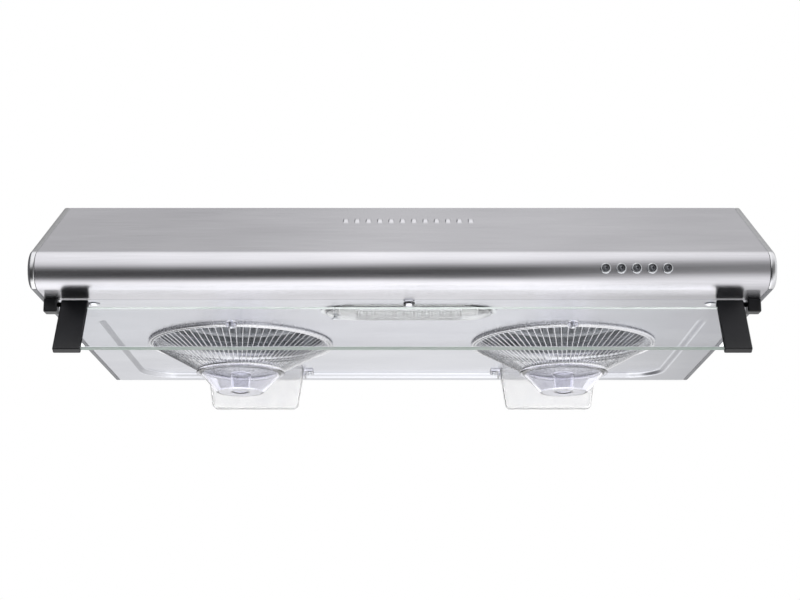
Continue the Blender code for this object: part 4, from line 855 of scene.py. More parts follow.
def turned(profile, sides, closed=False):
    """Turns a line of (radius, height) points round Z. A point on the axis becomes one vertex."""
    bm = bmesh.new()
    angles = [math.tau * i / sides for i in range(sides)]
    rows = []
    for radius, height in profile:
        if radius < TINY:
            rows.append([bm.verts.new((0, 0, height))] * sides)
        else:
            points = [(radius * math.cos(a), radius * math.sin(a)) for a in angles]
            rows.append(level_loop(bm, points, height))
    if closed:
        rows.append(rows[0])
    for lower, upper in zip(rows, rows[1:]):
        for i in range(sides):
            j = (i + 1) % sides
            corners = list(dict.fromkeys((lower[i], lower[j], upper[j], upper[i])))
            if len(corners) > 2:
                bm.faces.new(corners)
    bmesh.ops.recalc_face_normals(bm, faces=bm.faces)
    return bm


# %% Hoops and straight wires


def hoop(radius, wire, height, around=128, sides=12):
    """A ring of round wire, level, about Z."""
    angles = [math.tau * i / sides for i in range(sides)]
    section = [(radius + wire * math.cos(a), height + wire * math.sin(a)) for a in angles]
    return turned(section, around, closed=True)


def wires(ends, radius, sides=8):
    """Straight round wires between pairs of points."""
    bm = bmesh.new()
    for start, end in ends:
        along = Vector(end) - Vector(start)
        turn = along.to_track_quat("Z", "Y").to_matrix().to_4x4()
        place = Matrix.Translation((Vector(start) + Vector(end)) / 2) @ turn
        size = {"radius1": radius, "radius2": radius, "depth": along.length}
        bmesh.ops.create_cone(bm, cap_ends=True, segments=sides, matrix=place, **size)
    return bm


# %% Wire guards
SPOKES = 80
SPOKE_RADIUS = 0.50 * MM
RIM_WIRE = 1.6 * MM
INNER_RIM_WIRE = 1.3 * MM
RIM_CLEARANCE = 0.2 * MM
INNER_RIM_LOWER = 0.9 * MM
RING_WIRE = 1.8 * MM
BOWL_LIP_OVER_RING = 2.8 * MM
WIRE_CREASE = 60


def guard(side):
    low, high, middle = span(f"guard_{side}")
    bowl_low, bowl_high, _ = span(f"oil_bowl_{side}")
    rim = (high.x - low.x) / 2 - RIM_WIRE
    rim_z = high.z - RIM_WIRE
    inner_rim = (rim - RIM_WIRE - INNER_RIM_WIRE - RIM_CLEARANCE, rim_z - INNER_RIM_LOWER)
    ring = ((bowl_high.x - bowl_low.x) / 2 - BOWL_LIP_OVER_RING, low.z + RING_WIRE)
    ends = []
    for i in range(SPOKES):
        a = math.tau * (i + 0.5) / SPOKES
        ends.append([(radius * math.cos(a), radius * math.sin(a), z) for radius, z in (inner_rim, ring)])
    whole = gather(
        hoop(rim, RIM_WIRE, rim_z),
        hoop(inner_rim[0], INNER_RIM_WIRE, inner_rim[1]),
        hoop(ring[0], RING_WIRE, ring[1], 96),
        wires(ends, SPOKE_RADIUS),
    )
    moved(whole, (middle.x, middle.y, 0))
    piece(f"wire_guard_{side}", whole, NICKEL_WIRE, "hood", f"guard_{side}", "chromed_steel", WIRE_CREASE)


for side in SIDES:
    guard(side)

# %% [markdown]
# ## Bowls
# Each bowl is a clear injection-moulded cup that hangs in the guard's ring and catches grease from the hub.
# A thin skin could be given a thickness afterwards, but the hollow boss needs its own wall. So the bowl is
# turned from one section with a wall all round, and every corner of the section is softened the way a mould
# leaves it. Glass-like pieces need both their surfaces, or light bends only once in them.

# %% Softened corners


def softened(points, radius, steps=3, closed=False):
    """Rounds each corner of a line of 2-D points, by no more than half of the sides that meet there."""
    made = []
    count = len(points)
    for i, corner in enumerate(points):
        if not closed and i in (0, count - 1):
            made.append(tuple(corner))
            continue
        here = Vector(corner)
        before = Vector(points[i - 1]) - here
        after = Vector(points[(i + 1) % count]) - here
        reach = min(radius, before.length * 0.45, after.length * 0.45)
        start = here + before.normalized() * reach
        end = here + after.normalized() * reach
        for k in range(steps + 1):
            t = k / steps
            made.append(tuple(start * (1 - t) ** 2 + here * 2 * t * (1 - t) + end * t * t))
    return made


# %% Grease bowls
BOWL_WALL = 1.6 * MM
BOWL_NECK = 7 * MM
NECK_IN_RING = 2.6 * MM
NECK_TAPER = 0.5 * MM
BOWL_LIP = 1.8 * MM
BOWL_BASE = 27.5 * MM
BOWL_FOOT = 3 * MM
BOWL_ROUNDING = 1.2 * MM
BOSS_TOP = 12.5 * MM
BOSS_BASE = 10.5 * MM
BOSS_HEIGHT = 24 * MM


def grease_bowl(side):
    low, high, middle = span(f"oil_bowl_{side}")
    lip = (high.x - low.x) / 2
    neck = lip - BOWL_LIP_OVER_RING - NECK_IN_RING
    top, base, wall = high.z, low.z, BOWL_WALL
    lip_top = top - BOWL_NECK
    lip_low = lip_top - BOWL_LIP
    boss_top = base + BOSS_HEIGHT
    outside = [(neck - wall, top), (neck, top), (neck, lip_top), (lip, lip_top), (lip, lip_low)]
    outside += [(neck + NECK_TAPER, lip_low), (BOWL_BASE + BOWL_FOOT, base + BOWL_FOOT), (BOWL_BASE, base)]
    outside += [(BOSS_BASE - wall, base), (BOSS_TOP - wall, boss_top - wall), (0, boss_top - wall)]
    inside = [(0, boss_top), (BOSS_TOP, boss_top), (BOSS_BASE, base + wall), (BOWL_BASE - wall, base + wall)]
    inside += [(BOWL_BASE + BOWL_FOOT - wall, base + BOWL_FOOT + 1.5 * MM)]
    inside += [(neck - wall, lip_low + NECK_TAPER), (neck - wall, top - 1.5 * MM)]
    section = softened(outside, BOWL_ROUNDING) + softened(inside, BOWL_ROUNDING)
    bowl = moved(turned(section, 96, closed=True), (middle.x, middle.y, 0))
    place = (f"bowl_{side}", f"oil_bowl_{side}", "clear_plastic")
    piece(f"grease_bowl_{side}", bowl, CLEAR_STYRENE, *place, SOFT_CREASE)


for side in SIDES:
    grease_bowl(side)

# %% [markdown]
# ## Turn clips and their screws
# A small clear clip with a tab turns on a screw to hold each guard. The boss and its tab could simply
# overlap, but in clear plastic the hidden walls would show, so they are joined into one body. The screw has
# a pan head with a cross, cut by two crossed blocks.

# %% Turn clips
TAB_THICKNESS = 2.2 * MM
TAB_HALF = 4 * MM
CLIP_BORE = 1.9 * MM
THROUGH = 30 * MM


def turn_clip(side):
    low, high, _ = span(f"guard_clip_{side}")
    radius = (high.x - low.x) / 2
    centre = Vector(((low.x + high.x) / 2, low.y + radius, 0))
    profile = softened([(0, high.z), (radius, high.z), (radius, low.z), (0, low.z)], 0.8 * MM)
    boss = moved(turned(profile, 48), centre)
    place = (f"turn_clip_{side}", f"guard_clip_{side}", "clear_plastic")
    clip = piece(f"turn_clip_{side}", boss, CLEAR_STYRENE, *place)
    near = (centre.x - TAB_HALF, centre.y, low.z + 0.05 * MM)
    far = (centre.x + TAB_HALF, high.y, low.z + TAB_THICKNESS)
    combine(clip, "UNION", [block(near, far, 0.5 * MM)])
    combine(clip, "DIFFERENCE", [drum((centre.x, centre.y, low.z), CLIP_BORE, THROUGH, sides=32)])


# %% Pan head screws
SHANK = 1.6 * MM
HEAD_HEIGHT = 2 * MM
CROSS_LONG, CROSS_SHORT = 1.8 * MM, 0.35 * MM
CROSS_DEPTH = 1.0 * MM


def pan_head_screw(side):
    low, high, middle = span(f"guard_clip_screw_{side}")
    head = (high.x - low.x) / 2
    seat = low.z + HEAD_HEIGHT
    profile = [(0, high.z), (SHANK, high.z - 0.5 * MM), (SHANK, seat), (head, seat)]
    profile += [(head, seat - 0.8 * MM), (head * 0.6, low.z + 0.2 * MM), (0, low.z)]
    shape = moved(turned(softened(profile, 0.4 * MM), 48), (middle.x, middle.y, 0))
    screw = piece(f"clip_screw_{side}", shape, CHROME, "hood", f"guard_clip_screw_{side}", "chromed_steel")
    arms = []
    for a, b in ((CROSS_LONG, CROSS_SHORT), (CROSS_SHORT, CROSS_LONG)):
        arm = block((-a, -b, low.z - 5 * MM), (a, b, low.z + CROSS_DEPTH), 0)
        arms.append(moved(arm, (middle.x, middle.y, 0)))
    combine(screw, "DIFFERENCE", arms)


for side in SIDES:
    turn_clip(side)
    pan_head_screw(side)

# %% [markdown]
# ## Oil cups and their clips
# Behind each guard hangs a tapered cup of milky plastic that collects the oil drained from the panel. A
# bevelled block could be squeezed at the bottom, but its corners would shrink too. So the cup is a stack of
# rounded loops that narrow towards the floor, with a round bottom edge as moulding needs, and a wall of even
# thickness. Clear angle clips screwed to the panel hold it by its ends.

# %% The loops of a cup
CUP_FILLET = 5.5 * MM
WALL_SHARES = (0, 0.35, 0.7, 1)
FILLET_STEPS = 8


def cup_stack(depth):
    """The cup's loops as (how far down, share of the taper, how far the round edge tucks in)."""
    straight = depth - CUP_FILLET
    stack = [(share * straight, share * straight / depth, 0.0) for share in WALL_SHARES]
    for i in range(1, FILLET_STEPS + 1):
        angle = math.pi / 2 * i / FILLET_STEPS
        drop = straight + CUP_FILLET * math.sin(angle)
        stack.append((drop, drop / depth, CUP_FILLET * (1 - math.cos(angle))))
    return stack


# %% Oil cups
CUP_WALL = 1.6 * MM
CUP_CORNER = 6 * MM
CUP_TAPER = (7 * MM, 5 * MM)
CUP_BELOW_BOX = 0.3 * MM


def oil_cup(side):
    low, high, middle = span(f"oil_cup_{side}")
    top_z = high.z - CUP_BELOW_BOX
    half_x, half_y = (high.x - low.x) / 2, (high.y - low.y) / 2
    bm = bmesh.new()
    loops = []
    for drop, taper, tuck in cup_stack(top_z - low.z):
        x = half_x - CUP_TAPER[0] * taper - tuck
        y = half_y - CUP_TAPER[1] * taper - tuck
        corner = max(CUP_CORNER - tuck * 0.6, 1.5 * MM)
        points = rounded_rectangle((-x, -y), (x, y), (corner, corner), 8)
        points = [(middle.x + px, middle.y + py) for px, py in points]
        loops.append(level_loop(bm, points, top_z - drop))
    skin(bm, loops)
    bm.faces.new(loops[-1])
    face_towards(bm, DOWN)
    place = (f"cup_{side}", f"oil_cup_{side}", "frosted_plastic")
    thicken(piece(f"milky_oil_cup_{side}", bm, MILKY_PP, *place), CUP_WALL)


# %% Angle clips beside the cups
ANGLE_WALL = 2.5 * MM
ANGLE_SCREW_FROM_END = 6 * MM


def cup_clip(side, end):
    name = f"cup_clip_{side}_{end}"
    low, high, middle = span(name)
    towards_cup = 1 if span(f"oil_cup_{side}")[2].x > middle.x else -1
    wall_x, far_x = (high.x, low.x) if towards_cup > 0 else (low.x, high.x)
    back_x, shelf_z = wall_x - towards_cup * ANGLE_WALL, high.z - ANGLE_WALL
    outline = [(far_x, high.z), (wall_x, high.z), (wall_x, low.z), (back_x, low.z), (back_x, shelf_z)]
    outline = softened(outline + [(far_x, shelf_z)], 0.8 * MM, closed=True)
    clip = prism(*[[(x, y, z) for x, z in outline] for y in (low.y, high.y)])
    bevel_rims(clip, 1, (low.y, high.y), 0.5 * MM, 2)
    head = [(0, 0), (2.6 * MM, 0), (2.6 * MM, -0.9 * MM), (1.4 * MM, -1.7 * MM), (0, -1.8 * MM)]
    heads = []
    for y in (low.y + ANGLE_SCREW_FROM_END, high.y - ANGLE_SCREW_FROM_END):
        screw = turned(softened(head, 0.3 * MM), 32)
        heads.append(moved(screw, ((far_x + back_x) / 2, y, shelf_z - 0.05 * MM)))
    piece(f"cup_angle_{side}_{end}", clip, CLEAR_STYRENE, "hood", name, "clear_plastic")
    piece(f"cup_angle_screws_{side}_{end}", gather(*heads), CHROME, "hood", name, "chromed_steel")


for side in SIDES:
    oil_cup(side)
    for end in ("inner", "outer"):
        cup_clip(side, end)

# %% [markdown]
# ## Lamp lens
# The lens is a shallow clear dome, an oval with a flat rim that covers the edge of its window. Fine prism
# ribs across it spread the light of the tube. They could be drawn as bump, but their edge shows against the
# light, so the loops of the dome carry real ribs, whose pitch of 1.6 mm is a typical one.

# %% The lens outline and its ribs
RIB_PITCH = 1.6 * MM
RIB_DEPTH = 0.35 * MM
RIBS_START, RIBS_FULL = 10 * MM, 13 * MM
RIBS_END_X = 56 * MM
LENS_DOME = 6 * MM
LENS_WALL = 1.5 * MM
LENS_RIM = 5 * MM
LENS_STEPS = 12
LENS_BORE = 2.3 * MM


def long_oval(shrink, straight=264, bend=18):
    """The lens outline with its straight sides cut finely enough to carry the ribs."""
    radius = lens_width / 2 - shrink
    run = lens_length / 2 - lens_width / 2
    points = [(-run + 2 * run * i / straight, -radius) for i in range(straight)]
    points += arc((run, 0), radius, -math.pi / 2, math.pi / 2, bend)[:-1]
    points += [(run - 2 * run * i / straight, radius) for i in range(straight)]
    points += arc((-run, 0), radius, math.pi / 2, 1.5 * math.pi, bend)[:-1]
    return points


def rib_height(x, shrink):
    """Ribs fade in behind the flat rim and stop before the round ends."""
    if abs(x) >= RIBS_END_X:
        return 0.0
    fade = min(1.0, max(0.0, (shrink - RIBS_START) / (RIBS_FULL - RIBS_START)))
    return RIB_DEPTH * fade * abs(math.sin(math.pi * x / RIB_PITCH))


# %% Ribbed lens
LENS_EDGE = 0.4 * MM
DOME_FULLNESS, DOME_SPREAD = 0.7, 1.6


def lamp_lens():
    bm = bmesh.new()
    rim_z = lens_high.z - LENS_WALL
    deep = lens_width / 2 - LENS_EDGE
    rows = [(0.0, 0.0), (LENS_EDGE, 0.0), (LENS_RIM, 0.0)]
    for i in range(1, LENS_STEPS + 1):
        share = i / LENS_STEPS
        dome = LENS_DOME * math.sin(share * math.pi / 2) ** DOME_FULLNESS
        rows.append((LENS_RIM + (deep - LENS_RIM) * share ** DOME_SPREAD, dome))
    loops = []
    for shrink, drop in rows:
        loop = []
        for x, y in long_oval(shrink):
            z = rim_z - max(0.0, drop - rib_height(x, shrink))
            loop.append(bm.verts.new((x + lens_middle.x, y + lens_middle.y, z)))
        loops.append(loop)
    skin(bm, loops)
    bm.faces.new(loops[-1])
    face_towards(bm, DOWN)
    lens = piece("ribbed_lens", bm, LENS_CLEAR, "hood", "lamp_lens", "clear_plastic", SOFT_CREASE)
    thicken(lens, LENS_WALL)
    screw = span("lamp_screw")[2]
    hole = drum((screw.x, screw.y, rim_z), LENS_BORE, THROUGH, sides=32)
    combine(lens, "DIFFERENCE", [hole], SOFT_CREASE)


lamp_lens()

# %% [markdown]
# ## Lamp, thumb screw and small heads
# Behind the lens a tube of opal glass with metal end caps sits between two sockets. A knurled thumb screw
# holds the lens, and two domed screws and a clear bumper sit on the lip. All are turned shapes whose
# corners are softened. A bump pattern could stand for the knurl, but its outline would stay round, so every
# other vertex of the head's rim is moved inwards.

# %% Lamp tube
PIN_LENGTH = 4 * MM
PIN_RADIUS = 2 * MM
TUBE_CLIP_X = 27 * MM
TUBE_CLIP_WIRE = 0.6 * MM


def lamp_tube():
    low, high, middle = span("lamp_tube")
    radius = (high.z - low.z) / 2
    half = (high.x - low.x) / 2 - PIN_LENGTH
    rim, sleeve = half - 5 * MM, half - 6 * MM
    glass = [(0, rim), (radius, rim), (radius, -rim), (0, -rim)]
    cap = [(0, half + PIN_LENGTH), (PIN_RADIUS, half + PIN_LENGTH), (PIN_RADIUS, half), (radius * 0.9, half)]
    cap += [(radius, half - 3 * MM), (radius, sleeve), (radius * 0.97, sleeve), (0, sleeve)]
    lying = Matrix.Rotation(math.pi / 2, 4, "Y")
    over = Matrix.Rotation(math.pi, 4, "X")
    tube = moved(turned(softened(glass, 2 * MM), 48), middle, lying)
    piece("opal_lamp_tube", tube, TUBE_GLASS, "hood", "lamp_tube", "lamp_glass", SOFT_CREASE)
    metal = [turned(softened(cap, 0.4 * MM), 48), moved(turned(softened(cap, 0.4 * MM), 48), (0, 0, 0), over)]
    metal += [hoop(radius * 0.99, TUBE_CLIP_WIRE, height, 48, 8) for height in (-TUBE_CLIP_X, TUBE_CLIP_X)]
    caps = moved(gather(*metal), middle, lying)
    piece("lamp_tube_caps", caps, TURNED_STEEL, "hood", "lamp_tube", "turned_steel", SOFT_CREASE)


lamp_tube()

# %% Thumb screw
THREAD = 2 * MM
THUMB_HEAD = 2.2 * MM
TOOTH_DEGREES = 5
TOOTH_DEPTH_SHARE = 0.95
KNURL_CREASE = 25


def thumb_screw():
    low, high, middle = span("lamp_screw")
    head = (high.x - low.x) / 2
    seat = low.z + THUMB_HEAD
    profile = [(0, high.z), (THREAD, high.z - 0.5 * MM), (THREAD, seat), (head, seat)]
    profile += [(head, low.z + 0.7 * MM), (head * 0.8, low.z), (0, low.z)]
    bm = turned(softened(profile, 0.5 * MM), 360 // TOOTH_DEGREES)
    for vert in bm.verts:
        reach = math.hypot(vert.co.x, vert.co.y)
        tooth = round(math.degrees(math.atan2(vert.co.y, vert.co.x)) / TOOTH_DEGREES) % 2
        if reach > head * 0.9 and tooth:
            vert.co.xy *= TOOTH_DEPTH_SHARE
    moved(bm, (middle.x, middle.y, 0))
    piece("knurled_thumb_screw", bm, CHROME, "hood", "lamp_screw", "turned_steel", KNURL_CREASE)


thumb_screw()

# %% Domed heads and bumper


def domed_head(side):
    low, high, middle = span(f"lip_screw_{side}")
    head = (high.x - low.x) / 2
    seat = UNDERSIDE_Z - GAP
    dome = [(head * k / 8, low.z + (seat - low.z) * 0.75 * (k / 8) ** 2) for k in range(8, 0, -1)]
    profile = [(0, high.z), (THREAD, high.z), (THREAD, seat)]
    profile += [(head - 0.3 * MM, seat), (head, seat - 0.3 * MM)] + dome + [(0, low.z)]
    screw = moved(turned(profile, 64), (middle.x, middle.y, 0))
    piece(f"domed_lip_screw_{side}", screw, CHROME, "hood", f"lip_screw_{side}", "chromed_steel")


def clear_bumper():
    low, high, middle = span("visor_bumper")
    radius = (high.x - low.x) / 2
    profile = [(0, high.z), (radius, high.z), (radius, low.z + 2 * MM), (radius * 0.7, low.z), (0, low.z)]
    bumper = moved(turned(softened(profile, 1.2 * MM, 5), 48), (middle.x, middle.y, 0))
    piece("clear_bumper", bumper, CLEAR_STYRENE, "hood", "visor_bumper", "clear_plastic")


for side in SIDES:
    domed_head(side)
clear_bumper()

# %% [markdown]
# ## Buttons
# Five push buttons stand in the nose. Each has a bright ring like a small doughnut and a satin cap with a
# dished face, so one sees a bright ring, a dark groove and a dark dish that mirrors the room; the cap's
# chrome is also darkened in colour, as painted shade for the recess. Turning a softened section gives those
# curves; a plain cylinder would show only one flat tone.

# %% Button rings
BEZEL_PROUD = 1.8 * MM
BEZEL_WALL = 0.7 * MM
facing = Matrix.Rotation(math.pi / 2, 4, "X")


def button_ring(number):
    low, high, middle = span(f"button_bezel_{number}")
    cap_edge_low, cap_edge_high, _ = span(f"button_{number}")
    outer = (high.x - low.x) / 2
    inner = (cap_edge_high.x - cap_edge_low.x) / 2 + GAP
    tube = inner + BEZEL_WALL
    back = high.y - FRONT_Y
    section = [(inner, BEZEL_PROUD), (outer - 0.5 * MM, BEZEL_PROUD), (outer, BEZEL_PROUD - 1.2 * MM)]
    section += [(outer, GAP), (tube, GAP), (tube, -back), (inner, -back)]
    ring = turned(softened(section, 0.9 * MM, 5, closed=True), 64, closed=True)
    moved(ring, (middle.x, FRONT_Y, middle.z), facing)
    place = ("hood", f"button_bezel_{number}", "chromed_steel")
    piece(f"button_ring_{number}", ring, CHROME, *place, SOFT_CREASE)


# %% Button caps
CAP_BODY = 9 * MM
STEM = 1.5 * MM
DISH_DEPTH = 1.3 * MM
DISH_SHARE = 0.62
DISH_STEPS = 8


def button_cap(number):
    low, high, middle = span(f"button_{number}")
    reach = (high.x - low.x) / 2
    front = FRONT_Y - low.y
    end = high.y - FRONT_Y
    body = front - CAP_BODY
    shares = [i / DISH_STEPS for i in range(DISH_STEPS + 1)]
    dish = [(reach * DISH_SHARE * share, front - DISH_DEPTH * (1 - share ** 2)) for share in shares]
    profile = dish + [(reach - 0.4 * MM, front), (reach, front - 0.5 * MM), (reach, body)]
    profile += [(STEM, body), (STEM, -end), (0, -end)]
    cap = moved(turned(softened(profile, 0.25 * MM), 64), (middle.x, FRONT_Y, middle.z), facing)
    # The cap takes the chrome whose colour is darkened as painted shade for the recess.
    piece(f"button_cap_{number}", cap, CHROME_DARKENED_AS_SHADE, f"push_{number}", f"button_{number}", "chromed_steel")


for number in BUTTONS:
    button_ring(number)
    button_cap(number)

# %% [markdown]
# ## Visor
# The visor is a pane in two slotted arms. At rest it hangs at 61 degrees from shut, on pins in the two
# blocks under the lip. It could be drawn as it hangs, but then every point would need a sine and a cosine.
# So everything is drawn in the shut position and turned about the hinge line, which comes from the frame's
# own joint, so the pane can't drift from its pins.

# %% Visor arms
HINGE = Vector(next(joint for joint in frame["joints"] if joint["name"] == "visor_hinge")["pos_m"])
VISOR_ANGLE = math.radians(61)
hang = Matrix.Translation(HINGE) @ Matrix.Rotation(VISOR_ANGLE, 4, "X")
ARM_LENGTH = 63 * MM
ARM_THICKNESS = 7.5 * MM
ARM_WIDTH = 28 * MM
ARM_ROUNDING = 1.4 * MM
SLOT_INNER, SLOT_OUTER = 10 * MM, 6 * MM
PIN = 2.5 * MM
PANE_THICKNESS = 5 * MM
PANE_START = 5 * MM
PANE_END = ARM_LENGTH - 2.8 * MM


def visor_arm(side):
    low, high, _ = span(f"visor_arm_{side}")
    sign = SIDES[side]
    pin_end, inner = (high.x, low.x) if sign > 0 else (low.x, high.x)
    outer = inner + sign * ARM_WIDTH
    half = ARM_THICKNESS / 2
    near, far = sorted((inner, outer))
    shape = block((near, -ARM_LENGTH, -half), (far, half, half), ARM_ROUNDING, 4)
    arm = piece(f"abs_arm_{side}", shape, BLACK_ABS, "visor", f"visor_arm_{side}", "black_plastic")
    slot = PANE_THICKNESS / 2 + GAP
    slot_near, slot_far = sorted((inner - sign * SLOT_INNER, inner + sign * SLOT_OUTER))
    cutter = block((slot_near, -PANE_END - GAP, -slot), (slot_far, GAP - PANE_START, slot), 0)
    combine(arm, "DIFFERENCE", [cutter])
    pin_middle = (outer + pin_end) / 2 - sign * 1 * MM
    combine(arm, "UNION", [drum((pin_middle, 0, 0), PIN, abs(pin_end - outer) + 2 * MM, "X", 32)])
    arm.data.transform(hang)


# %% Visor pane and pivot blocks
PANE_ROUNDING = 1.1 * MM
BLOCK_ROUNDING = 1.6 * MM
BORE = 2.8 * MM
BORE_LENGTH = 15.2 * MM


def visor_pane():
    low, high, _ = span("visor_glass")
    half = PANE_THICKNESS / 2
    pane = block((low.x, -PANE_END, -half), (high.x, -PANE_START, half), PANE_ROUNDING, 3)
    for face in pane.faces:
        face.material_index = 0 if abs(face.normal.z) > 0.9 else 1
    moved(pane, (0, 0, 0), hang)
    piece("float_glass_pane", pane, (PANE_GLASS, EDGE_GLASS), "visor", "visor_glass", "visor_glass")


def pivot_block(side):
    name = f"visor_pivot_block_{side}"
    low, high, _ = span(name)
    shape = block(low, high, BLOCK_ROUNDING, 4)
    support = piece(f"abs_{name}", shape, BLACK_ABS, "hood", name, "black_plastic")
    bore_x = low.x if SIDES[side] > 0 else high.x
    combine(support, "DIFFERENCE", [drum((bore_x, HINGE.y, HINGE.z), BORE, BORE_LENGTH, "X", 32)])


for side in SIDES:
    visor_arm(side)
    pivot_block(side)
visor_pane()

# %% [markdown]
# ## Fan wheels
# Behind each guard turns a drum of forward-curved blades between a plate and a ring, with a domed hub in the
# middle. A blade is a short arc pushed along the axle. Forty of them stand round the drum, set by a loop.
# A texture of stripes would do for a still wheel, but these turn, and light falls between the blades.

# %% Fan blades
BLADES = 40
BLADE_THICKNESS = 0.9 * MM
BLADE_BEND = 9 * MM
BLADE_ARC = (math.radians(20), math.radians(80))
BLADE_LEAN = math.radians(-25)
BLADE_STEPS = 6


def blade(turn, sign, radius, low_z, high_z):
    """One curved blade: a bent strip whose inner edge leads."""
    bend = arc((0, 0), BLADE_BEND, *BLADE_ARC, BLADE_STEPS)
    middle = Vector(bend[BLADE_STEPS // 2])
    outer = [Vector(point) - middle for point in bend]
    inner = [-middle + (point + middle) * (1 - BLADE_THICKNESS / BLADE_BEND) for point in outer]
    outline = outer + inner[::-1]
    strip = prism(*[[(x, sign * y, z) for x, y in outline] for z in (low_z, high_z)])
    lean = Matrix.Rotation(sign * BLADE_LEAN, 4, "Z")
    place = Matrix.Rotation(turn, 4, "Z") @ Matrix.Translation((radius, 0, 0)) @ lean
    return moved(strip, (0, 0, 0), place)


# %% Fan wheels
WHEEL_RING = 9 * MM
RING_HEIGHT = 3 * MM
PLATE = 2 * MM
HUB_RADIUS = 46 * MM
HUB_DROP = 34 * MM
HUB_BORE = 4.3 * MM


def hub_section(top, radius):
    """The plate and the domed hub as one closed line of (radius, height) points."""
    hub = top - HUB_DROP
    section = [(HUB_RADIUS - 4 * MM, top), (radius, top), (radius, top - PLATE), (HUB_RADIUS, top - PLATE)]
    section += [(HUB_RADIUS * 0.86, hub + 8 * MM), (HUB_RADIUS * 0.62, hub), (HUB_RADIUS * 0.3, hub - PLATE)]
    section += [(HUB_BORE, hub - PLATE), (HUB_BORE, hub), (HUB_RADIUS * 0.3, hub + PLATE)]
    return section + [(HUB_RADIUS * 0.5, hub + PLATE), (HUB_RADIUS * 0.76, hub + 11 * MM)]


def fan_wheel(side):
    low, high, _ = span(f"fan_wheel_{side}")
    radius = (high.y - low.y) / 2
    inner, ring_top = radius - WHEEL_RING, low.z + RING_HEIGHT
    ring = [(inner, ring_top), (radius, ring_top), (radius, low.z), (inner, low.z)]
    shapes = [
        turned(softened(hub_section(high.z, radius), 4 * MM, 4, closed=True), 96, closed=True),
        turned(softened(ring, 0.8 * MM, closed=True), 96, closed=True),
    ]
    for i in range(BLADES):
        turn = math.tau * i / BLADES
        shapes.append(blade(turn, SIDES[side], radius - WHEEL_RING / 2, low.z + 1 * MM, high.z - 1 * MM))
    wheel = moved(gather(*shapes), (fans[side].x, FAN_Y, 0))
    piece(f"blower_drum_{side}", wheel, FAN_GREY, f"blower_{side}", f"fan_wheel_{side}", "grey_plastic")


for side in SIDES:
    fan_wheel(side)

# %% [markdown]
# ## Duct collar, flaps and cable gland
# On top, a rolled galvanised collar takes the duct, and two plastic flaps inside it fall shut when the
# blowers stop. The gland beside it grips the power cable. They could be plain tubes and discs, but the
# collar's bead and hem are part of its section, each flap is a half disc with a raised rib, and the gland is
# a dome nut on a hexagon, so each keeps the outline that one knows it by.

# %% Duct collar
COLLAR_RADIUS = 60 * MM
COLLAR_WALL = 1.5 * MM
COLLAR_BEAD = 0.8 * MM
BEAD_BELOW_RIM = 9
AXLE_RADIUS = 1.8 * MM
under_top = -SHEET - GAP


def duct_collar():
    low, high, middle = span("exhaust_collar")
    flange = (high.x - low.x) / 2
    inside = COLLAR_RADIUS - COLLAR_WALL
    bead = []
    for i in range(9):
        bulge = COLLAR_BEAD * math.sin(math.pi * i / 8)
        bead.append((COLLAR_RADIUS + bulge, high.z - (BEAD_BELOW_RIM + i) * MM))
    line = [(COLLAR_RADIUS, high.z)] + bead
    line += [(COLLAR_RADIUS, under_top), (flange, under_top), (flange, low.z), (inside, low.z)]
    line += [(radius - COLLAR_WALL, z) for radius, z in bead[::-1]] + [(inside, high.z)]
    collar = moved(turned(line, 128, closed=True), (middle.x, middle.y, 0))
    flap_z = span("damper_flap_front")[2].z
    reach = COLLAR_RADIUS - COLLAR_WALL / 2
    axle = wires([[(middle.x + x, middle.y, flap_z) for x in (-reach, reach)]], AXLE_RADIUS, 24)
    whole = gather(collar, axle)
    piece("rolled_duct_collar", whole, GALVANISED, "hood", "exhaust_collar", "galvanised_sheet")


duct_collar()

# %% Damper flaps
RIB_NEAR, RIB_FAR = 10 * MM, 12 * MM
RIB_HALF = 40 * MM
RIB_SUNK, RIB_PROUD = 0.2 * MM, 1 * MM


def flap(end, sign):
    name = f"damper_flap_{end}"
    low, high, middle = span(name)
    radius = (high.x - low.x) / 2
    straight_y = low.y if sign > 0 else high.y
    stretch = sign * (high.y - low.y) / radius
    outline = [(middle.x + x, straight_y + y * stretch) for x, y in arc((0, 0), radius, 0, math.pi, 48)]
    disc = prism(*[[(x, y, z) for x, y in outline] for z in (low.z, high.z)])
    bevel_rims(disc, 2, (low.z, high.z), 0.3 * MM, 2)
    near_y, far_y = sorted((straight_y + sign * RIB_NEAR, straight_y + sign * RIB_FAR))
    rib_low = (middle.x - RIB_HALF, near_y, high.z - RIB_SUNK)
    rib = block(rib_low, (middle.x + RIB_HALF, far_y, high.z + RIB_PROUD), 0.3 * MM)
    piece(f"duct_flap_{end}", gather(disc, rib), DARK_GREY_ABS, f"flap_{end}", name, "grey_plastic")


flap("front", -1)
flap("rear", 1)

# %% Cable gland
CABLE_BORE = 3.8 * MM
GLAND_RADIUS = 9 * MM
NUT_HEIGHT = 6 * MM
NUT_FLAT_DEPTH = 0.05


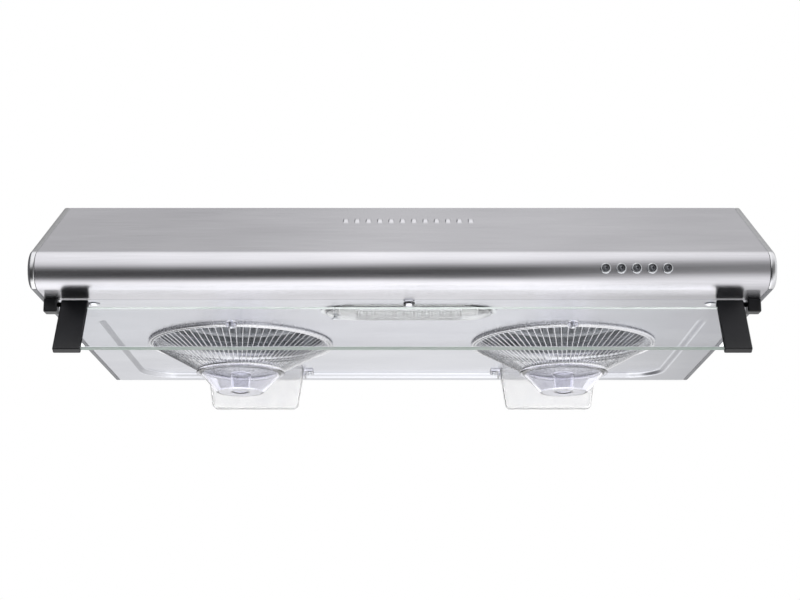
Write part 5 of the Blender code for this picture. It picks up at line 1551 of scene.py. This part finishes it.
def cable_gland():
    low, high, middle = span("cable_gland")
    flange, outer = (high.x - low.x) / 2, GLAND_RADIUS
    nut_z = under_top + NUT_HEIGHT
    section = [(CABLE_BORE, high.z), (outer * 0.62, high.z), (outer * 0.9, high.z - 4 * MM)]
    section += [(outer * 0.92, nut_z), (outer * 0.8, nut_z), (outer, nut_z - 1 * MM), (outer, under_top)]
    section += [(flange, under_top), (flange, low.z), (CABLE_BORE, low.z)]
    bm = turned(softened(section, 0.8 * MM, closed=True), 48, closed=True)
    for vert in bm.verts:
        reach = math.hypot(vert.co.x, vert.co.y)
        if nut_z < vert.co.z < high.z - 4.5 * MM and reach > outer * 0.85:
            angle = math.atan2(vert.co.y, vert.co.x)
            vert.co.xy *= 1 - NUT_FLAT_DEPTH * abs(math.sin(6 * angle))
    moved(bm, (middle.x, middle.y, 0))
    piece("domed_cable_gland", bm, BLACK_ABS, "hood", "cable_gland", "black_plastic")


cable_gland()

# %% [markdown]
# ## Solids that stay
# The casings, motors, shafts, nuts, lamp holder, switch block, junction box and capacitor are hidden, or seen
# only through the guards, and their working shapes are right already. They keep their meshes and get the
# finish of the real piece, because a new mesh would add nothing that anyone can see.

# %% Finishes for the solids that stay


def dress(finish, *names):
    """Gives nodes of the frame a finish without touching their meshes."""
    for name in names:
        node = frame["nodes"][name]
        node.data.materials.clear()
        node.data.materials.append(finish)
        print("dressed", name, "in", finish.name)


for side in SIDES:
    dress(GALVANISED, f"blower_casing_{side}")
    dress(TURNED_STEEL, f"motor_{side}", f"motor_shaft_{side}")
    dress(WHITE_NYLON, f"fan_nut_{side}")
dress(GALVANISED, "exhaust_plenum")
dress(WHITE_NYLON, "lamp_holder", "capacitor")
dress(DARK_GREY_ABS, "switch_block", "terminal_box")
dress(WHITE_ENAMEL, "lamp_housing")

# %% [markdown]
# ## Light
# Steel has no colour of its own: it shows the room. A studio for it is mostly white cards with one dark gap,
# and that gap gives the nose its dark stripe. Lamps and cards as objects could do this, but a sky that is
# bright or dark by direction is smoother and throws no noise. The angle runs in the hood's side view, from
# the front horizon at 0, over the top at 90, to the back at 180, and below the horizon it is negative.
# Three bands of brightness stand for the left, the middle and the right of the room.

# %% Brightness by angle, in degrees
LEFT_BAND = (
    (-180, 0.68), (-171, 0.66), (-166, 0.92), (-150, 1.30), (-115, 1.70), (-84, 1.60), (-73, 0.90),
    (-63, 0.18), (-54, 0.05), (-14, 0.05), (0, 0.22), (11, 0.82), (24, 1.14), (60, 1.26), (104, 1.30),
    (115, 1.00), (122, 0.52), (134, 0.34), (150, 0.40), (165, 0.85), (180, 0.92),
)
MIDDLE_BAND = (
    (-180, 0.70), (-171, 0.64), (-166, 0.98), (-150, 1.40), (-115, 1.90), (-78, 1.65), (-66, 0.90),
    (-56, 0.24), (-48, 0.07), (-2, 0.07), (10, 0.22), (22, 0.68), (36, 1.08), (66, 1.36), (106, 1.40),
    (116, 1.12), (123, 0.64), (134, 0.51), (150, 0.53), (165, 0.88), (180, 0.94),
)
RIGHT_BAND = (
    (-180, 0.60), (-171, 0.54), (-166, 0.70), (-150, 0.76), (-115, 0.95), (-82, 1.25), (-60, 1.25),
    (-44, 1.00), (-32, 0.54), (-22, 0.30), (20, 0.26), (32, 0.36), (42, 0.66), (54, 0.92), (74, 1.10),
    (104, 1.18), (114, 1.02), (121, 0.60), (134, 0.46), (150, 0.50), (165, 0.86), (180, 0.92),
)
BAND_SCALE = 2.0


def ramp_stops(band):
    """A ramp holds values from 0 to 1, so brightness is divided here and multiplied again by the sky."""
    return [((degrees + 180) / 360, [value / BAND_SCALE] * 3 + [1.0]) for degrees, value in band]


# %% [markdown]
# ## Sky
# To the left and right, the bands blend into each other by how far a direction leans sideways. Further out, a
# grey card stands on the right and a dark one on the left, which end the highlights on the steel. Clear glass
# and plastic should look lit from behind, so rays that have passed through them see an evenly bright sky, and
# the camera itself sees plain white. Cards behind each pane could do the same, but they would cast shadows.

# %% A studio sky by direction
BEHIND_GLASS = 1.6
WHITE = (1.0, 1.0, 1.0, 1.0)
RIGHT_CARD = (0.5, 0.5, 0.5, 1.0)
LEFT_CARD = (0.05, 0.05, 0.053, 1.0)


def studio_sky():
    world = bpy.data.worlds.new("studio")
    bpy.context.scene.world = world
    world.use_nodes = True
    tree = world.node_tree
    tree.nodes.clear()
    direction = add(tree, "TexCoord").outputs["Generated"]
    sideways, back, up = add(tree, "SeparateXYZ", {0: direction}).outputs
    front = add(tree, "Math", {0: back, 1: -1.0}, operation="MULTIPLY").outputs[0]
    angle = add(tree, "Math", {0: up, 1: front}, operation="ARCTAN2").outputs[0]
    share = add(tree, "MapRange", {"Value": angle, "From Min": -math.pi, "From Max": math.pi}).outputs[0]
    bands = [ramp_stops(band) for band in (LEFT_BAND, MIDDLE_BAND, RIGHT_BAND)]
    left, colour, right = [add(tree, "ValToRGB", {"Fac": share}, stops).outputs[0] for stops in bands]
    sides = ((left, -0.01, -0.11, 1.0), (right, 0.08, 0.18, 1.0))
    cards = ((RIGHT_CARD, 0.35, 0.75, 0.8), (LEFT_CARD, -0.32, -0.50, 0.95))
    for other, start, end, most in sides + cards:
        reach = {"Value": sideways, "From Min": start, "From Max": end, "To Max": most}
        mix = {0: add(tree, "MapRange", reach).outputs[0], 1: colour, 2: other}
        colour = add(tree, "MixRGB", mix).outputs[0]
    ray = add(tree, "LightPath").outputs
    shader = add(tree, "Background", {0: colour, 1: BAND_SCALE}).outputs[0]
    for kind, strength in (("Is Transmission Ray", BEHIND_GLASS), ("Is Camera Ray", 1.0)):
        plain = add(tree, "Background", {0: WHITE, 1: strength}).outputs[0]
        shader = add(tree, "MixShader", {0: ray[kind], 1: shader, 2: plain}).outputs[0]
    add(tree, "OutputWorld", {0: shader})
    print("sky:", len(tree.nodes), "nodes")


studio_sky()

# %% [markdown]
# ## Floor, view and camera
# The sky alone would light the hood, but a view from above would then show no ground. So there is a pale
# floor, further down than a kitchen's, so that a camera can also look at the underside from low down. It is
# left out of reflections, because the sky already holds the bright floor that polished steel should mirror.
# The camera stands low in front with a slightly long lens, which keeps the hood's lines calm.

# %% Floor
FLOOR_DROP = 2.4
FLOOR_HALF = 6.0
FLOOR_TONE_MM = (400, 400, 400)


def pale_floor():
    bm = bmesh.new()
    bmesh.ops.create_grid(bm, x_segments=8, y_segments=8, size=FLOOR_HALF)
    floor = placed("floor", moved(bm, (0, 0, -FLOOR_DROP)))
    paint, tree, shader = finish_of("pale_painted_floor", Roughness=0.7)
    tone = pattern(tree, FLOOR_TONE_MM, Detail=2.0)[0]
    stops = [(0.3, linear("#ececec")), (0.7, linear("#f2f2f2"))]
    tree.links.new(add(tree, "ValToRGB", {"Fac": tone}, stops).outputs[0], shader.inputs["Base Color"])
    floor.data.materials.append(paint)
    floor.visible_glossy = False
    floor.visible_transmission = False


pale_floor()

# %% View transform and camera
CAMERA_PLACE = (-0.0024, -1.8817, -0.5105)
CAMERA_TILT = math.radians(13.4)
bpy.context.scene.view_settings.view_transform = "Standard"
camera = bpy.data.objects.new("camera", bpy.data.cameras.new("camera"))
bpy.context.scene.collection.objects.link(camera)
bpy.context.scene.camera = camera
camera.data.lens = 72
camera.data.sensor_width = 36
camera.data.clip_end = 50
camera.location = CAMERA_PLACE
camera.rotation_euler = (math.pi / 2 + CAMERA_TILT, 0, 0)
print("camera", round(Vector(CAMERA_PLACE).length, 2), "m from the hood")
